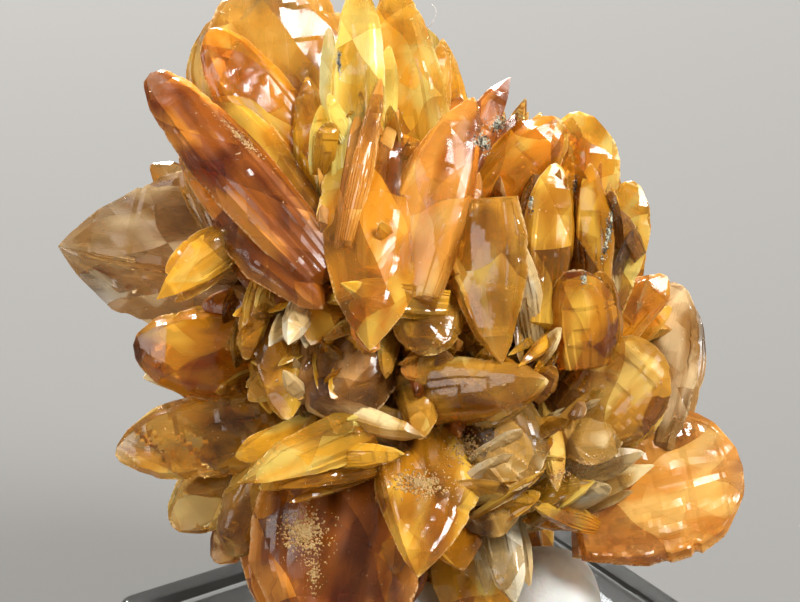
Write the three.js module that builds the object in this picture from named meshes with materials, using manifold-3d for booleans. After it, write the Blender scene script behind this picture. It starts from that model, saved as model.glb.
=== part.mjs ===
// An amber selenite cluster: a loose ball of intergrown, lens-shaped gypsum blades with tips like ducks' bills.
// It stands on a clear acrylic display block and is held there by two lumps of white mineral tack.
// Millimetres, +Z up. The origin is the centre of the block's underside, and the cluster's best side faces -Y.
import * as THREE from "three";
import { ConvexGeometry } from "three/addons/geometries/ConvexGeometry.js";
import { mergeVertices } from "three/addons/utils/BufferGeometryUtils.js";
import Module from "manifold-3d";

const wasm = await Module();
wasm.setup();

// Driving dimensions of the display block
const BLOCK_SIDE = 50;
const BLOCK_THICK = 8;
const BLOCK_CORNER = 1.6;
const BLOCK_EDGE = 0.6;
const BLOCK_TURN = 33.7;

// Where the crystals are seen from: the eye's height above the horizon, its distance, and the point it looks at
const EYE_ELEVATION = 24;
const EYE_DISTANCE = 300;
const LOOKED_AT = new THREE.Vector3(-4.2, 0, 45.9);

// How closely neighbours touch, and the level that the cluster's lowest blades rest on
const GAP = 0.3;
const REST_LEVEL = BLOCK_THICK + GAP;

// Edges shorter than this, where blades cross, are closed up
const SHORTEST_EDGE = 0.02;

// Stations along a blade, as shares of the way from root to tip: the corners of its outline, and of its table
const STATIONS = [0, 0.2, 0.42, 0.64, 0.82, 0.94];
const PLAIN_STATIONS = [0, 0.4, 0.82];
const TABLE_STATIONS = [0.06, 0.45, 0.84];
const PLAIN_TABLE_STATIONS = [0.1, 0.75];

// A blade's usual form. roll turns its face from the eye, in degrees. widest is the station of its greatest width,
// blunt fills out its tip, and foot is its width at the root as a share of the greatest. table is the table's share
// of the width, and taper is how much thinner the table is at the tip.
const USUAL = {
  stations: STATIONS,
  tableStations: TABLE_STATIONS,
  roll: 0,
  widest: 0.4,
  blunt: 1.2,
  foot: 0.7,
  table: 0.66,
  taper: 0.5,
};

// What differs in a blade that hardly shows: it has fewer corners
const PLAIN = { stations: PLAIN_STATIONS, tableStations: PLAIN_TABLE_STATIONS };

// One blade: root and tip are [across, up, towards the eye], as the eye sees them from LOOKED_AT. left and right are
// half widths, looking from root to tip. special holds what differs from USUAL.
function blade(name, root, tip, [left, right], thick, special = {}) {
  return { name, root, tip, left, right, thick, ...special };
}

// The blades whose place shows from the front
const FRONT_BLADES = [
  // The crown
  blade("crown_dome", [-9.5, 12.5, 0], [-12.8, 32.6, -4], [8.9, 7.4], 6, { roll: -8, widest: 0.52, blunt: 2 }),
  blade("crown_flank", [-7.6, 12, 3], [-19, 27.2, 0.5], [4.4, 3.4], 4.5, { roll: -22, widest: 0.5, blunt: 1.9 }),
  blade("crown_sheet", [-4.8, 5, 10], [-4.2, 31.8, 5], [2.6, 3.1], 5, { roll: 18, widest: 0.6, blunt: 1.8 }),
  blade("crown_shoulder", [2, 6, 4], [-0.8, 31.5, 0], [4.6, 4.5], 6, { roll: 12, widest: 0.4, blunt: 1.8 }),
  blade("crown_veil", [-5.6, 5.5, 14.5], [-1.9, 22.3, 9], [1.1, 1.3], 2, { roll: 10, blunt: 1.6 }),
  blade("crown_rear", [-0.5, 12, -10], [1.5, 27.8, -15], [5.5, 5.4], 3, { blunt: 2 }),
  blade("crown_side", [1.5, 10, 4], [4.2, 25.7, 0.5], [2, 2.2], 3, { roll: 20, widest: 0.5, blunt: 1.6 }),
  blade("crown_wedge", [-7.2, 6.5, 6], [-9.3, 22.5, 2.5], [3, 2.8], 5, { roll: 22 }),
  blade("crown_chip", [-7.9, 12.6, 8], [-7, 17.9, 10.5], [1.2, 1.3], 2.4, { roll: -20, widest: 0.7, blunt: 2 }),
  // The middle
  blade("centre_bill", [-1, 16.4, 6], [-3, -5, 18], [5.5, 6.4], 8, { widest: 0.38, blunt: 1.05, table: 0.3 }),
  blade("right_bill", [1.4, -0.6, 14], [7.4, 20.4, 9], [5, 2.9], 6, { roll: 8, widest: 0.45, blunt: 1.35, table: 0.72 }),
  blade("right_bill_twin", [4, 8.1, 8], [11.1, 22.4, 4], [3.4, 1.5], 4, { roll: -12, blunt: 1.1 }),
  blade("brown_bill", [5.5, 7, 3], [16.2, 18.1, 5], [3.3, 3.7], 6, { widest: 0.6, blunt: 1.8, table: 0.5 }),
  blade("brown_chip", [9.5, 11.5, 2], [12.6, 20.3, 2], [1.4, 1.2], 2.6, { roll: 20 }),
  blade("brown_stub", [12, 13, 1.5], [14.1, 18.9, 1], [1.2, 1.2], 2.4, { roll: -15 }),
  blade("golden_bill", [9.7, 10.4, 11], [10.2, -6.3, 14], [2.9, 5.6], 6, { roll: -10, widest: 0.32, blunt: 1.05, table: 0.7 }),
  blade("pale_slip", [13.2, -4.4, 9], [11.6, 6.6, 12], [1.8, 1.8], 4, { roll: 15, blunt: 1.5 }),
  blade("centre_shelf", [5, 0.3, 13], [-6, 1.8, 17], [2.6, 1], 2.6, { widest: 0.45, blunt: 1 }),
  blade("centre_foot", [2.8, 1.4, 10], [2.7, -5.5, 14], [3.6, 3.6], 5, { blunt: 2 }),
  // The right shoulder
  blade("yellow_crescent", [15, -3, -2], [17.9, 19, 1], [3.2, 5.4], 7, { roll: 25, widest: 0.74, blunt: 1.9, table: 0.4 }),
  blade("column_left", [12.4, 0, 5], [13.6, 12.9, 6], [2, 2.2], 4, { roll: -30, blunt: 1.6 }),
  blade("column_brown", [13.8, -3.2, 9], [15.6, 13.8, 8], [2.7, 2.7], 5, { roll: -16, widest: 0.6, blunt: 1.7 }),
  blade("column_middle", [17.2, -1, 5], [17.8, 12.4, 5], [2.2, 2.3], 4, { roll: 30, blunt: 1.6 }),
  blade("column_right", [19.3, -0.4, 6], [19, 13.8, 7], [2.1, 2.3], 5, { roll: 12, blunt: 1.4 }),
  blade("column_gold", [17.5, -6, -1], [23.4, 12, 3], [3, 3.6], 5, { roll: 24, widest: 0.66, blunt: 1.8 }),
  blade("amber_block", [18.2, -6.7, 8], [17.4, 3.2, 11], [3.2, 3.9], 6, { widest: 0.5, blunt: 1.8, table: 0.55 }),
  blade("yellow_splint", [17.5, -1.5, 6], [11.8, -6.6, 15], [0.8, 0.8], 1.8),
  blade("orange_tab", [19, -6, -1], [26.7, 2.5, 0], [2.5, 2.2], 3, { widest: 0.7, blunt: 1.5 }),
  blade("right_disc", [17.9, -13, 4], [25.6, -4.5, 6], [4.8, 5.2], 5, { roll: 8, widest: 0.5, blunt: 2, table: 0.75 }),
  blade("smoky_disc", [24.5, -15, -3], [27.4, 1.9, -6], [4.6, 4], 4, { roll: 15, widest: 0.5, blunt: 2, table: 0.75 }),
  blade("great_disc", [17, -20.5, -2], [34.3, -16.6, -4], [7.9, 8], 4.5, { widest: 0.55, blunt: 2, table: 0.8 }),
  // The left side
  blade("red_blade", [-7, 2.2, 13], [-25, 22.8, 3], [3.6, 3.6], 5, { roll: -15, widest: 0.5, blunt: 1.8, table: 0.62 }),
  blade("red_blade_back", [-7.9, 3.9, 10], [-18.5, 20.6, 2], [2, 3.7], 4, { roll: 5, widest: 0.45, blunt: 1.4 }),
  blade("red_blade_side", [-16.5, 5, 5], [-21.8, 16.4, 2.5], [1.9, 2.6], 3, { blunt: 1.5 }),
  blade("red_blade_twin", [-16.9, 9.5, 6], [-7.7, -0.8, 14], [3.2, 3.6], 5, { roll: 10, blunt: 1.3, table: 0.55 }),
  blade("left_wing", [-12, 1.4, 0], [-34.2, 5.5, -3], [6.9, 9], 6, { roll: 4, widest: 0.45, blunt: 1.05, table: 0.12 }),
  blade("left_veil", [-14.5, 6, -6], [-25, 13.6, -8], [2.6, 3], 3, { widest: 0.5, blunt: 1.4 }),
  blade("amber_fin", [-15.4, 6, 7], [-24.4, 0.1, 9], [1.6, 3], 3, { roll: 15, widest: 0.35, blunt: 1.05 }),
  blade("amber_cheek", [-8.5, -5.5, 2], [-26.7, -4.4, 5], [5.1, 4.2], 7, { roll: -5, widest: 0.55, blunt: 2, foot: 0.85 }),
  blade("shaded_plate", [-10, 0, 6], [-19.8, -0.6, 4], [1.6, 2.2], 3, { blunt: 1.8 }),
  blade("ribbed_fan", [-5, -11, 2], [-28.5, -15.4, 3], [4.6, 5.2], 6, { widest: 0.5, blunt: 1.6, table: 0.75 }),
  blade("olive_lens", [-9.5, -12, -2], [-22.8, -22.6, -1], [3.2, 3.6], 4, { widest: 0.7, blunt: 1.8 }),
  blade("orange_lens", [-11, -13, 2], [-17, -25.5, 3], [3.2, 3.3], 4, { widest: 0.6, blunt: 1.8 }),
  blade("smoky_lens", [-8.5, -15, -5], [-18.6, -26.1, -6], [2.8, 3], 4, { widest: 0.6, blunt: 1.8 }),
  // The lower middle
  blade("mauve_face", [-4, 2.2, 4], [-6.3, -11.8, 13], [5.4, 5.4], 7, { widest: 0.62, blunt: 2, table: 0.7 }),
  blade("small_leaf", [-1, -1.5, 8], [-1.4, -7.8, 13.5], [1.3, 1.2], 2.6),
  blade("amber_wedge", [-12.7, 1.2, 5], [-11.2, -11.9, 12], [3.2, 3], 6, { roll: -15, blunt: 1.7 }),
  blade("amber_drop", [-13.5, 2.5, 8], [-15.4, -5.9, 10], [1.4, 1.6], 3.4, { blunt: 2 }),
  blade("pale_tooth", [-9, 1.8, 6], [-11.2, -4.4, 16.5], [1.4, 1.4], 3, { widest: 0.6, blunt: 1 }),
  blade("white_tooth", [-8.5, -11.8, 7], [-11.7, -6.9, 15], [1.2, 1.2], 2.6),
  blade("ledge", [-9.5, -9.8, 10], [2.5, -13.6, 14], [1.2, 1.5], 4, { roll: 30 }),
  blade("yellow_bill", [-2.5, -13, 11], [-16.3, -18.2, 15], [2.2, 3.5], 5, { roll: 20, widest: 0.35, blunt: 1 }),
  blade("yellow_bill_lip", [-1.5, -16.4, 9], [-12.3, -18.7, 14], [1.1, 1.1], 3),
  blade("yellow_point", [-7, -15.6, 11], [0.5, -15.3, 15], [1.3, 1.3], 3, { roll: -10 }),
  blade("clear_bill", [-0.5, -9.4, 8], [14.9, -8, 15], [3.4, 3.8], 6, { roll: -16, widest: 0.45, blunt: 1.25 }),
  blade("clear_stub", [1.5, -5.4, 6], [2, -13.9, 13], [2.4, 2.4], 5, { blunt: 1.5 }),
  blade("rough_face", [7.5, -7.5, 3], [12, -18.9, 11], [4.6, 5.2], 7, { widest: 0.6, blunt: 1.8, table: 0.5 }),
  blade("rough_scale", [5.7, -13.7, 3.2], [10, -23.6, 9], [3.8, 3.6], 5, { roll: 15, widest: 0.6, blunt: 1.7 }),
  blade("long_scale", [6.5, -21.5, 4], [24.5, -15.2, 5], [3.2, 1.6], 4, { roll: -26, widest: 0.5, blunt: 1.4 }),
  blade("lower_scale", [9, -22.5, 0], [25.5, -16.4, 2], [2.2, 2], 4, { roll: -20 }),
  blade("orange_chip", [19.5, -22.5, 0], [13.4, -20.5, 9], [1.3, 1.3], 3),
  blade("gold_splint", [14.6, -7.5, 1], [15.7, -19.1, 10], [1.4, 1.4], 3, { roll: 25, widest: 0.6 }),
  blade("gold_scale", [18.6, -9.8, 2], [19.3, -16.4, 8], [3.2, 3.2], 5, { widest: 0.6, blunt: 2 }),
  // The bottom, part of it below the photograph's edge
  blade("front_slab", [-4.5, -11.5, 3], [-7, -36.2, 9], [8.5, 9.2], 9, { widest: 0.52, blunt: 1.6 }),
  blade("orange_triangle", [0.8, -13, 7], [1.8, -27.7, 14.5], [6.9, 3.7], 6, { roll: 8, widest: 0.32, blunt: 1 }),
  blade("gold_keel", [6, -16, -3], [9, -35, -1], [4.8, 5], 8, { roll: 20, widest: 0.55, blunt: 1.6 }),
  blade("pale_keel", [9, -18, 1], [11.5, -30.2, 7.5], [2.2, 2.2], 4, { roll: -20, widest: 0.6 }),
  blade("left_foot", [-2, -12, -6], [-6, -38, -12], [6, 6], 9, { widest: 0.5, blunt: 1.9 }),
  blade("right_foot", [7, -10, -10], [12, -36, -19], [5.5, 5.5], 8, { roll: 25, widest: 0.5, blunt: 1.9 }),
];

// The heart of the ball, where fat blades cross, and the blades of the far side, which no view of the front shows
const HEART = [1, -3, -6];
const HEART_BLADES = 11;
const HEART_REACH = 20;
const HEART_HALF_WIDTH = 10.5;
const HEART_THICK = 12;
const BACK_BLADES = 30;
const BACK_REACH = 27;
const BACK_HALF_WIDTH = 6.4;
const BACK_THICK = 4.6;
const GOLDEN_ANGLE = 137.508;

// The lumps of tack: where each one's centre stands on the block, its half sizes along X and Y, and its height
const TACK_LUMPS = [
  { name: "tack_left", x: -4.2, y: -8, half: [6, 5.4], high: 10.6 },
  { name: "tack_right", x: 10.8, y: -3.2, half: [5.9, 5.4], high: 11.4 },
];
// How much of a lump's ball shape is pressed flat under it
const TACK_PRESSED = 0.35;

const radians = THREE.MathUtils.degToRad;
const across = new THREE.Vector3(1, 0, 0);
const upwards = new THREE.Vector3(0, Math.sin(radians(EYE_ELEVATION)), Math.cos(radians(EYE_ELEVATION)));
const nearer = new THREE.Vector3(0, -Math.cos(radians(EYE_ELEVATION)), Math.sin(radians(EYE_ELEVATION)));

// A point that the eye sees at [across, up] in the plane through LOOKED_AT, and that much nearer than the plane
function seenAt([right, up, near]) {
  const scale = (EYE_DISTANCE - near) / EYE_DISTANCE;
  return LOOKED_AT.clone()
    .addScaledVector(across, right * scale)
    .addScaledVector(upwards, up * scale)
    .addScaledVector(nearer, near);
}

// A number from 0 to 1 that looks random and is the same on each run
function scatter(seed) {
  const x = Math.sin(seed * 12.9898) * 43758.5453;
  return x - Math.floor(x);
}

// The half width of a blade's outline, as a share of its widest, at a share of the way from root to tip
function outlineShare(along, { widest, blunt, foot }) {
  if (along < widest) return foot + (1 - foot) * Math.sin((along / widest) * Math.PI / 2);
  return Math.pow(1 - Math.pow((along - widest) / (1 - widest), 2), 1 / blunt);
}

// One blade as a flat-faced solid: a knife edge all round, and a table that thins towards the tip on either face
function bladeSolid(shape) {
  const form = { ...USUAL, ...shape };
  const axis = new THREE.Vector3().subVectors(form.tipAt, form.rootAt);
  const length = axis.length();
  axis.normalize();
  const squareOn = nearer.clone().addScaledVector(axis, -nearer.dot(axis)).normalize();
  const face = squareOn.applyAxisAngle(axis, -radians(form.roll));
  const side = new THREE.Vector3().crossVectors(axis, face);
  const at = (along, sideways, high) => form.rootAt.clone()
    .addScaledVector(axis, along * length)
    .addScaledVector(side, sideways)
    .addScaledVector(face, high);
  const points = [form.tipAt.clone()];
  for (const along of form.stations) {
    const share = outlineShare(along, form);
    points.push(at(along, form.right * share, 0), at(along, -form.left * share, 0));
  }
  for (const along of form.tableStations) {
    const share = outlineShare(along, form) * form.table;
    const high = (form.thick / 2) * (1 - form.taper * along);
    for (const sense of [1, -1]) {
      points.push(at(along, form.right * share, sense * high), at(along, -form.left * share, sense * high));
    }
  }
  return solidOf(new ConvexGeometry(points));
}

// A three.js geometry as a solid that can be joined and cut
function solidOf(geometry) {
  const bare = geometry.clone();
  bare.deleteAttribute("normal");
  bare.deleteAttribute("uv");
  const merged = mergeVertices(bare, 1e-4);
  return new wasm.Manifold(new wasm.Mesh({
    numProp: 3,
    vertProperties: merged.attributes.position.array,
    triVerts: new Uint32Array(merged.index.array),
  }));
}

// A joined or cut solid as a three.js geometry
function geometryOf(solid) {
  const { vertProperties, triVerts, numProp, numVert } = solid.getMesh();
  const positions = new Float32Array(numVert * 3);
  for (let i = 0; i < numVert; i++) {
    positions.set(vertProperties.subarray(i * numProp, i * numProp + 3), i * 3);
  }
  const geometry = new THREE.BufferGeometry();
  geometry.setAttribute("position", new THREE.BufferAttribute(positions, 3));
  geometry.setIndex(new THREE.BufferAttribute(new Uint32Array(triVerts), 1));
  geometry.computeVertexNormals();
  return geometry;
}

// Directions spread evenly over a ball, or over part of it. Their heights run from first to last.
function spreadDirections(count, first, last) {
  return Array.from({ length: count }, (_, i) => {
    const height = first + ((last - first) * (i + 0.5)) / count;
    const ring = Math.sqrt(1 - height * height);
    const turn = radians(GOLDEN_ANGLE * i);
    return new THREE.Vector3()
      .addScaledVector(across, ring * Math.cos(turn))
      .addScaledVector(upwards, ring * Math.sin(turn))
      .addScaledVector(nearer, height);
  });
}

// The fat blades that cross at the heart and hold the ball together
function heartBlades() {
  const heart = seenAt(HEART);
  return spreadDirections(HEART_BLADES, 0.95, -0.95).map((direction, i) => ({
    rootAt: heart.clone().addScaledVector(direction, -HEART_REACH * 0.6),
    tipAt: heart.clone().addScaledVector(direction, HEART_REACH * (0.9 + 0.2 * scatter(i))),
    left: HEART_HALF_WIDTH,
    right: HEART_HALF_WIDTH,
    thick: HEART_THICK,
    roll: 360 * scatter(i + 20),
    blunt: 1.6,
    ...PLAIN,
  }));
}

// The blades of the far side, which radiate from the heart
function backBlades() {
  const heart = seenAt(HEART);
  return spreadDirections(BACK_BLADES, 0.05, -0.98).map((direction, i) => {
    const reach = BACK_REACH * (0.86 + 0.26 * scatter(i + 40));
    const wide = BACK_HALF_WIDTH * (0.75 + 0.6 * scatter(i + 60));
    return {
      rootAt: heart.clone().addScaledVector(direction, reach * 0.3),
      tipAt: heart.clone().addScaledVector(direction, reach),
      left: wide * (0.8 + 0.4 * scatter(i + 80)),
      right: wide,
      thick: BACK_THICK * (0.8 + 0.5 * scatter(i + 100)),
      roll: 360 * scatter(i + 120),
      blunt: 1 + scatter(i + 140),
      ...PLAIN,
    };
  });
}

// A box as a solid, between two heights, wide enough to hold the whole cluster
function slabSolid(low, high) {
  const wide = 200;
  const box = new THREE.BoxGeometry(wide, wide, high - low).translate(0, 0, (low + high) / 2);
  return solidOf(box);
}

// All blades grown together in one solid, cut flat where its lowest blades rest
function clusterSolid() {
  const front = FRONT_BLADES.map((shape) => ({ ...shape, rootAt: seenAt(shape.root), tipAt: seenAt(shape.tip) }));
  const blades = [...heartBlades(), ...backBlades(), ...front].map(bladeSolid);
  const joined = blades.reduce((whole, solid) => whole.add(solid));
  return joined.intersect(slabSolid(REST_LEVEL, 200)).simplify(SHORTEST_EDGE);
}

// A pinched lump of tack, pressed flat on the block and moulded to the blades that sink into it
function tackSolid({ x, y, half, high }, cluster) {
  const ball = new THREE.SphereGeometry(1, 14, 10).rotateX(Math.PI / 2);
  const halfHigh = high / (2 - TACK_PRESSED);
  const size = new THREE.Vector3(...half, halfHigh);
  const middle = new THREE.Vector3(x, y, REST_LEVEL + high - halfHigh);
  const position = ball.getAttribute("position");
  for (let i = 0; i < position.count; i++) {
    const p = new THREE.Vector3().fromBufferAttribute(position, i);
    const dent = 1 + 0.07 * Math.sin(3.1 * p.x + 2) * Math.cos(2.7 * p.y + p.z) + 0.05 * Math.sin(4.3 * p.z + p.x);
    p.multiplyScalar(dent).multiply(size).add(middle);
    position.setXYZ(i, p.x, p.y, p.z);
  }
  const shifts = [[GAP, 0, 0], [-GAP, 0, 0], [0, GAP, 0], [0, -GAP, 0], [0, 0, GAP], [0, 0, -GAP]];
  const pressed = solidOf(ball).intersect(slabSolid(REST_LEVEL, 200));
  return shifts.reduce((rest, shift) => rest.subtract(cluster.translate(shift)), pressed);
}

// The largest of a solid's separate bodies, without the crumbs that a cut leaves
function largestBody(solid) {
  return solid.decompose().reduce((a, b) => (a.volume() > b.volume() ? a : b));
}

// The display block: a square plate with small rounded corners and a narrow chamfer along its edges
function blockGeometry() {
  const half = BLOCK_SIDE / 2 - BLOCK_EDGE;
  const corner = BLOCK_CORNER - BLOCK_EDGE;
  const outline = new THREE.Shape();
  outline.moveTo(-half + corner, -half);
  for (const quarter of [0, 1, 2, 3]) {
    const turn = (quarter - 1) * Math.PI / 2 + Math.PI / 4;
    const reach = (half - corner) * Math.SQRT2;
    outline.absarc(reach * Math.cos(turn), reach * Math.sin(turn), corner, turn - Math.PI / 4, turn + Math.PI / 4);
  }
  return new THREE.ExtrudeGeometry(outline, {
    depth: BLOCK_THICK - 2 * BLOCK_EDGE,
    bevelThickness: BLOCK_EDGE,
    bevelSize: BLOCK_EDGE,
    bevelSegments: 1,
    curveSegments: 3,
  }).translate(0, 0, BLOCK_EDGE);
}

const amber = new THREE.MeshStandardMaterial({ color: 0xc9781e, roughness: 0.18, metalness: 0 });
const white = new THREE.MeshStandardMaterial({ color: 0xf1efe8, roughness: 0.65, metalness: 0 });
const clear = new THREE.MeshStandardMaterial({ color: 0xe6ecee, roughness: 0.08, metalness: 0 });
clear.transparent = true;
clear.opacity = 0.35;

const specimen = new THREE.Group();

function place(name, geometry, material) {
  const mesh = new THREE.Mesh(geometry, material);
  mesh.name = name;
  specimen.add(mesh);
  return mesh;
}

const cluster = clusterSolid();
place("selenite_cluster", geometryOf(cluster), amber);
for (const lump of TACK_LUMPS) {
  place(lump.name, geometryOf(largestBody(tackSolid(lump, cluster))), white);
}
place("acrylic_block", blockGeometry(), clear).rotation.z = radians(BLOCK_TURN);

export default specimen;
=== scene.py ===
"""An amber selenite cluster on a clear acrylic block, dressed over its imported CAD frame.

The cluster is a loose ball of intergrown, lens-shaped gypsum blades. Each blade is built from the same named
values as the CAD source, with growth steps, chipped rims and cleavage patches. Each large blade of the front
is one mesh with its parallel leaves; the others are joined by where they are and by their tone. Two lumps of
white mineral tack hold the cluster on a polished square block. Lengths are in millimetres until a mesh is made,
and in metres in Blender.
"""

from __future__ import annotations

import logging
import math
import random
from collections.abc import Iterator
from dataclasses import dataclass, field
from enum import Enum
from typing import Any

import bmesh
import bpy
import numpy as np
from mathutils import Euler, Matrix, Vector, noise
from mathutils.bvhtree import BVHTree

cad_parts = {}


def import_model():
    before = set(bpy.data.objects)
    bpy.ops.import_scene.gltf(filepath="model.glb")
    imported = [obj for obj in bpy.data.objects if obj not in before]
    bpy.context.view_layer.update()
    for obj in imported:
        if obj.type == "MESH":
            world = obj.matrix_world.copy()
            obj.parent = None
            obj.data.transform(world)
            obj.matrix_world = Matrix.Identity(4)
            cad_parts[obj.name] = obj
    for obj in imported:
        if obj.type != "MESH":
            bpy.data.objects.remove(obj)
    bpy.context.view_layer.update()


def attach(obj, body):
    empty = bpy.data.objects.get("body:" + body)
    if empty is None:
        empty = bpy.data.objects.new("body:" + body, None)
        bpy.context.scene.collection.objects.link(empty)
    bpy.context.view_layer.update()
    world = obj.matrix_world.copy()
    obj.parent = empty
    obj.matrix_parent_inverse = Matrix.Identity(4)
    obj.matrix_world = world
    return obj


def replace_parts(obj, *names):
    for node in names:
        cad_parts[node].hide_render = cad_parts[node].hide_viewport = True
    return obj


LOG = logging.getLogger("selenite")
MM = 0.001
CLUSTER_NODE = "selenite_cluster"
REST_LEVEL = 8.3
GOLDEN_ANGLE = 137.508
GYPSUM_IOR = 1.52
ACRYLIC_IOR = 1.49

Colour = tuple[float, float, float, float]
Pair = tuple[float, float]
Point = tuple[float, float, float]
Sockets = dict[Any, Any]


# Shader maths


class Bench:
    """Where one material's nodes are laid out and joined."""

    def __init__(self, material: bpy.types.Material) -> None:
        """Empties the material's node tree.

        Args:
            material: The material that the nodes belong to.
        """
        material.use_nodes = True
        self.tree = material.node_tree
        self.tree.nodes.clear()

    def node(self, kind: str, settings: dict[str, Any] | None = None, sockets: Sockets | None = None) -> Any:
        """Adds one node, sets it up and joins its sockets.

        Args:
            kind: Blender's name for the node's type.
            settings: Properties to set first; "stops" gives a ramp's (place, colour) pairs.
            sockets: Values or signals, by the input's name or number.

        Returns:
            The new node.
        """
        made = self.tree.nodes.new(kind)
        for key, value in (settings or {}).items():
            if key == "stops":
                self._set_stops(made.color_ramp, value)
            else:
                setattr(made, key, value)
        for key, value in (sockets or {}).items():
            if isinstance(value, Signal):
                self.tree.links.new(value.socket, made.inputs[key])
            else:
                made.inputs[key].default_value = value
        return made

    def signal(self, kind: str, output: Any = 0, settings: dict[str, Any] | None = None,
               sockets: Sockets | None = None) -> Signal:
        """Adds one node and gives one of its outputs.

        Args:
            kind: Blender's name for the node's type.
            output: The output's name or number.
            settings: Properties to set first.
            sockets: Values or signals, by the input's name or number.

        Returns:
            The output, ready for use in an expression.
        """
        return Signal(self, self.node(kind, settings, sockets).outputs[output])

    def attribute(self, name: str, output: str = "Fac") -> Signal:
        """A named value that the mesh's points hold."""
        return self.signal("ShaderNodeAttribute", output, {"attribute_name": name})

    def place(self) -> Signal:
        """A point's place in its object's own axes."""
        return self.signal("ShaderNodeTexCoord", "Object")

    def ramp(self, value: Signal, stops: list[tuple[float, Colour]]) -> Signal:
        """A colour ramp over a value."""
        return self.signal("ShaderNodeValToRGB", "Color", {"stops": stops}, {"Fac": value})

    def blend(self, share: Signal | float, first: Any, second: Any) -> Signal:
        """Two colours mixed by a share."""
        settings = {"data_type": "RGBA", "blend_type": "MIX", "clamp_factor": True}
        return self.signal("ShaderNodeMix", 2, settings, {0: share, 6: first, 7: second})

    def noise(self, place: Signal, scale: float, detail: float = 2.0) -> Signal:
        """Fractal noise from 0 to 1 at a place in space."""
        sockets = {"Vector": place, "Scale": scale, "Detail": detail, "Roughness": 0.6}
        return self.signal("ShaderNodeTexNoise", 0, {}, sockets)

    def blocks(self, place: Signal, scale: float) -> Signal:
        """Square blocks that fill space, each with a random colour."""
        corner = self.signal("ShaderNodeVectorMath", 0, {"operation": "FLOOR"}, {0: place * scale})
        return self.signal("ShaderNodeTexWhiteNoise", "Color", {"noise_dimensions": "3D"}, {"Vector": corner})

    def bump(self, height: Signal, strength: float, distance: float) -> Signal:
        """A normal that leans with a height."""
        sockets = {"Strength": strength, "Distance": distance, "Height": height}
        return self.signal("ShaderNodeBump", "Normal", {}, sockets)

    def body(self, sockets: Sockets) -> Any:
        """A Principled body with these inputs."""
        return self.node("ShaderNodeBsdfPrincipled", {}, sockets)

    def mixed(self, share: Signal, first: Any, second: Any) -> Any:
        """Mixes two shaders.

        Args:
            share: How much of the second one there is.
            first: The first shader's node.
            second: The second shader's node.

        Returns:
            The mixing node.
        """
        made = self.node("ShaderNodeMixShader", {}, {0: share})
        self.tree.links.new(first.outputs[0], made.inputs[1])
        self.tree.links.new(second.outputs[0], made.inputs[2])
        return made

    def absorption(self, colour: Colour, density: float) -> Any:
        """An inside that takes up light evenly."""
        return self.node("ShaderNodeVolumeAbsorption", {}, {"Color": colour, "Density": density})

    def finish(self, surface: Any, inside: Any = None) -> None:
        """Joins the shaders to the material's output.

        Args:
            surface: The surface's shader.
            inside: The volume's shader, where there is one.
        """
        output = self.node("ShaderNodeOutputMaterial")
        self.tree.links.new(surface.outputs[0], output.inputs["Surface"])
        if inside:
            self.tree.links.new(inside.outputs[0], output.inputs["Volume"])

    @staticmethod
    def _set_stops(ramp: bpy.types.ColorRamp, stops: list[tuple[float, Colour]]) -> None:
        """Gives a ramp its stops.

        Args:
            ramp: The ramp to fill.
            stops: Places from 0 to 1 with their colours, in order.
        """
        while len(ramp.elements) < len(stops):
            ramp.elements.new(0.5)
        for element, (place, colour) in zip(ramp.elements, stops):
            element.position = place
            element.color = colour


@dataclass(frozen=True)
class Signal:
    """One output socket, used in Python expressions that add the nodes they need."""

    bench: Bench
    socket: Any

    def _is_vector(self) -> bool:
        """Whether the socket carries three numbers."""
        return self.socket.type in {"VECTOR", "RGBA"}

    def _combine(self, operation: str, first: Any, second: Any) -> Signal:
        """Adds the Math or Vector Math node for one operator.

        Args:
            operation: The node's operation.
            first: The left-hand value.
            second: The right-hand value.

        Returns:
            The result.
        """
        vector = any(isinstance(value, Signal) and value._is_vector() for value in (first, second))
        if not vector:
            return self.bench.signal("ShaderNodeMath", 0, {"operation": operation}, {0: first, 1: second})
        one, two = ((value,) * 3 if isinstance(value, (int, float)) else value for value in (first, second))
        return self.bench.signal("ShaderNodeVectorMath", 0, {"operation": operation}, {0: one, 1: two})

    def __add__(self, other: Any) -> Signal:
        """The sum."""
        return self._combine("ADD", self, other)

    def __sub__(self, other: Any) -> Signal:
        """The difference."""
        return self._combine("SUBTRACT", self, other)

    def __mul__(self, other: Any) -> Signal:
        """The product."""
        return self._combine("MULTIPLY", self, other)

    def ranged(self, low: float, high: float, to_low: float = 0.0, to_high: float = 1.0) -> Signal:
        """The value moved from one range to another and held inside it.

        Args:
            low: The value that becomes to_low.
            high: The value that becomes to_high.
            to_low: The new range's start.
            to_high: The new range's end.

        Returns:
            The moved value.
        """
        sockets = {"Value": self, "From Min": low, "From Max": high, "To Min": to_low, "To Max": to_high}
        return self.bench.signal("ShaderNodeMapRange", 0, {"clamp": True}, sockets)

    def dot(self, other: Signal) -> Signal:
        """The dot product of two vectors."""
        settings = {"operation": "DOT_PRODUCT"}
        return self.bench.signal("ShaderNodeVectorMath", "Value", settings, {0: self, 1: other})

    def first(self) -> Signal:
        """The first of a vector's three numbers."""
        return self.bench.signal("ShaderNodeSeparateXYZ", 0, {}, {0: self})

    def turned(self, angle: float) -> Signal:
        """A place turned about its third axis, by an angle in radians."""
        sockets = {"Vector": self, "Angle": angle}
        return self.bench.signal("ShaderNodeVectorRotate", 0, {"rotation_type": "Z_AXIS"}, sockets)

    def stretched(self, shape: Point) -> Signal:
        """A place whose three coordinates are scaled apart."""
        return self.bench.signal("ShaderNodeVectorMath", 0, {"operation": "MULTIPLY"}, {0: self, 1: shape})


# Finishes


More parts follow.
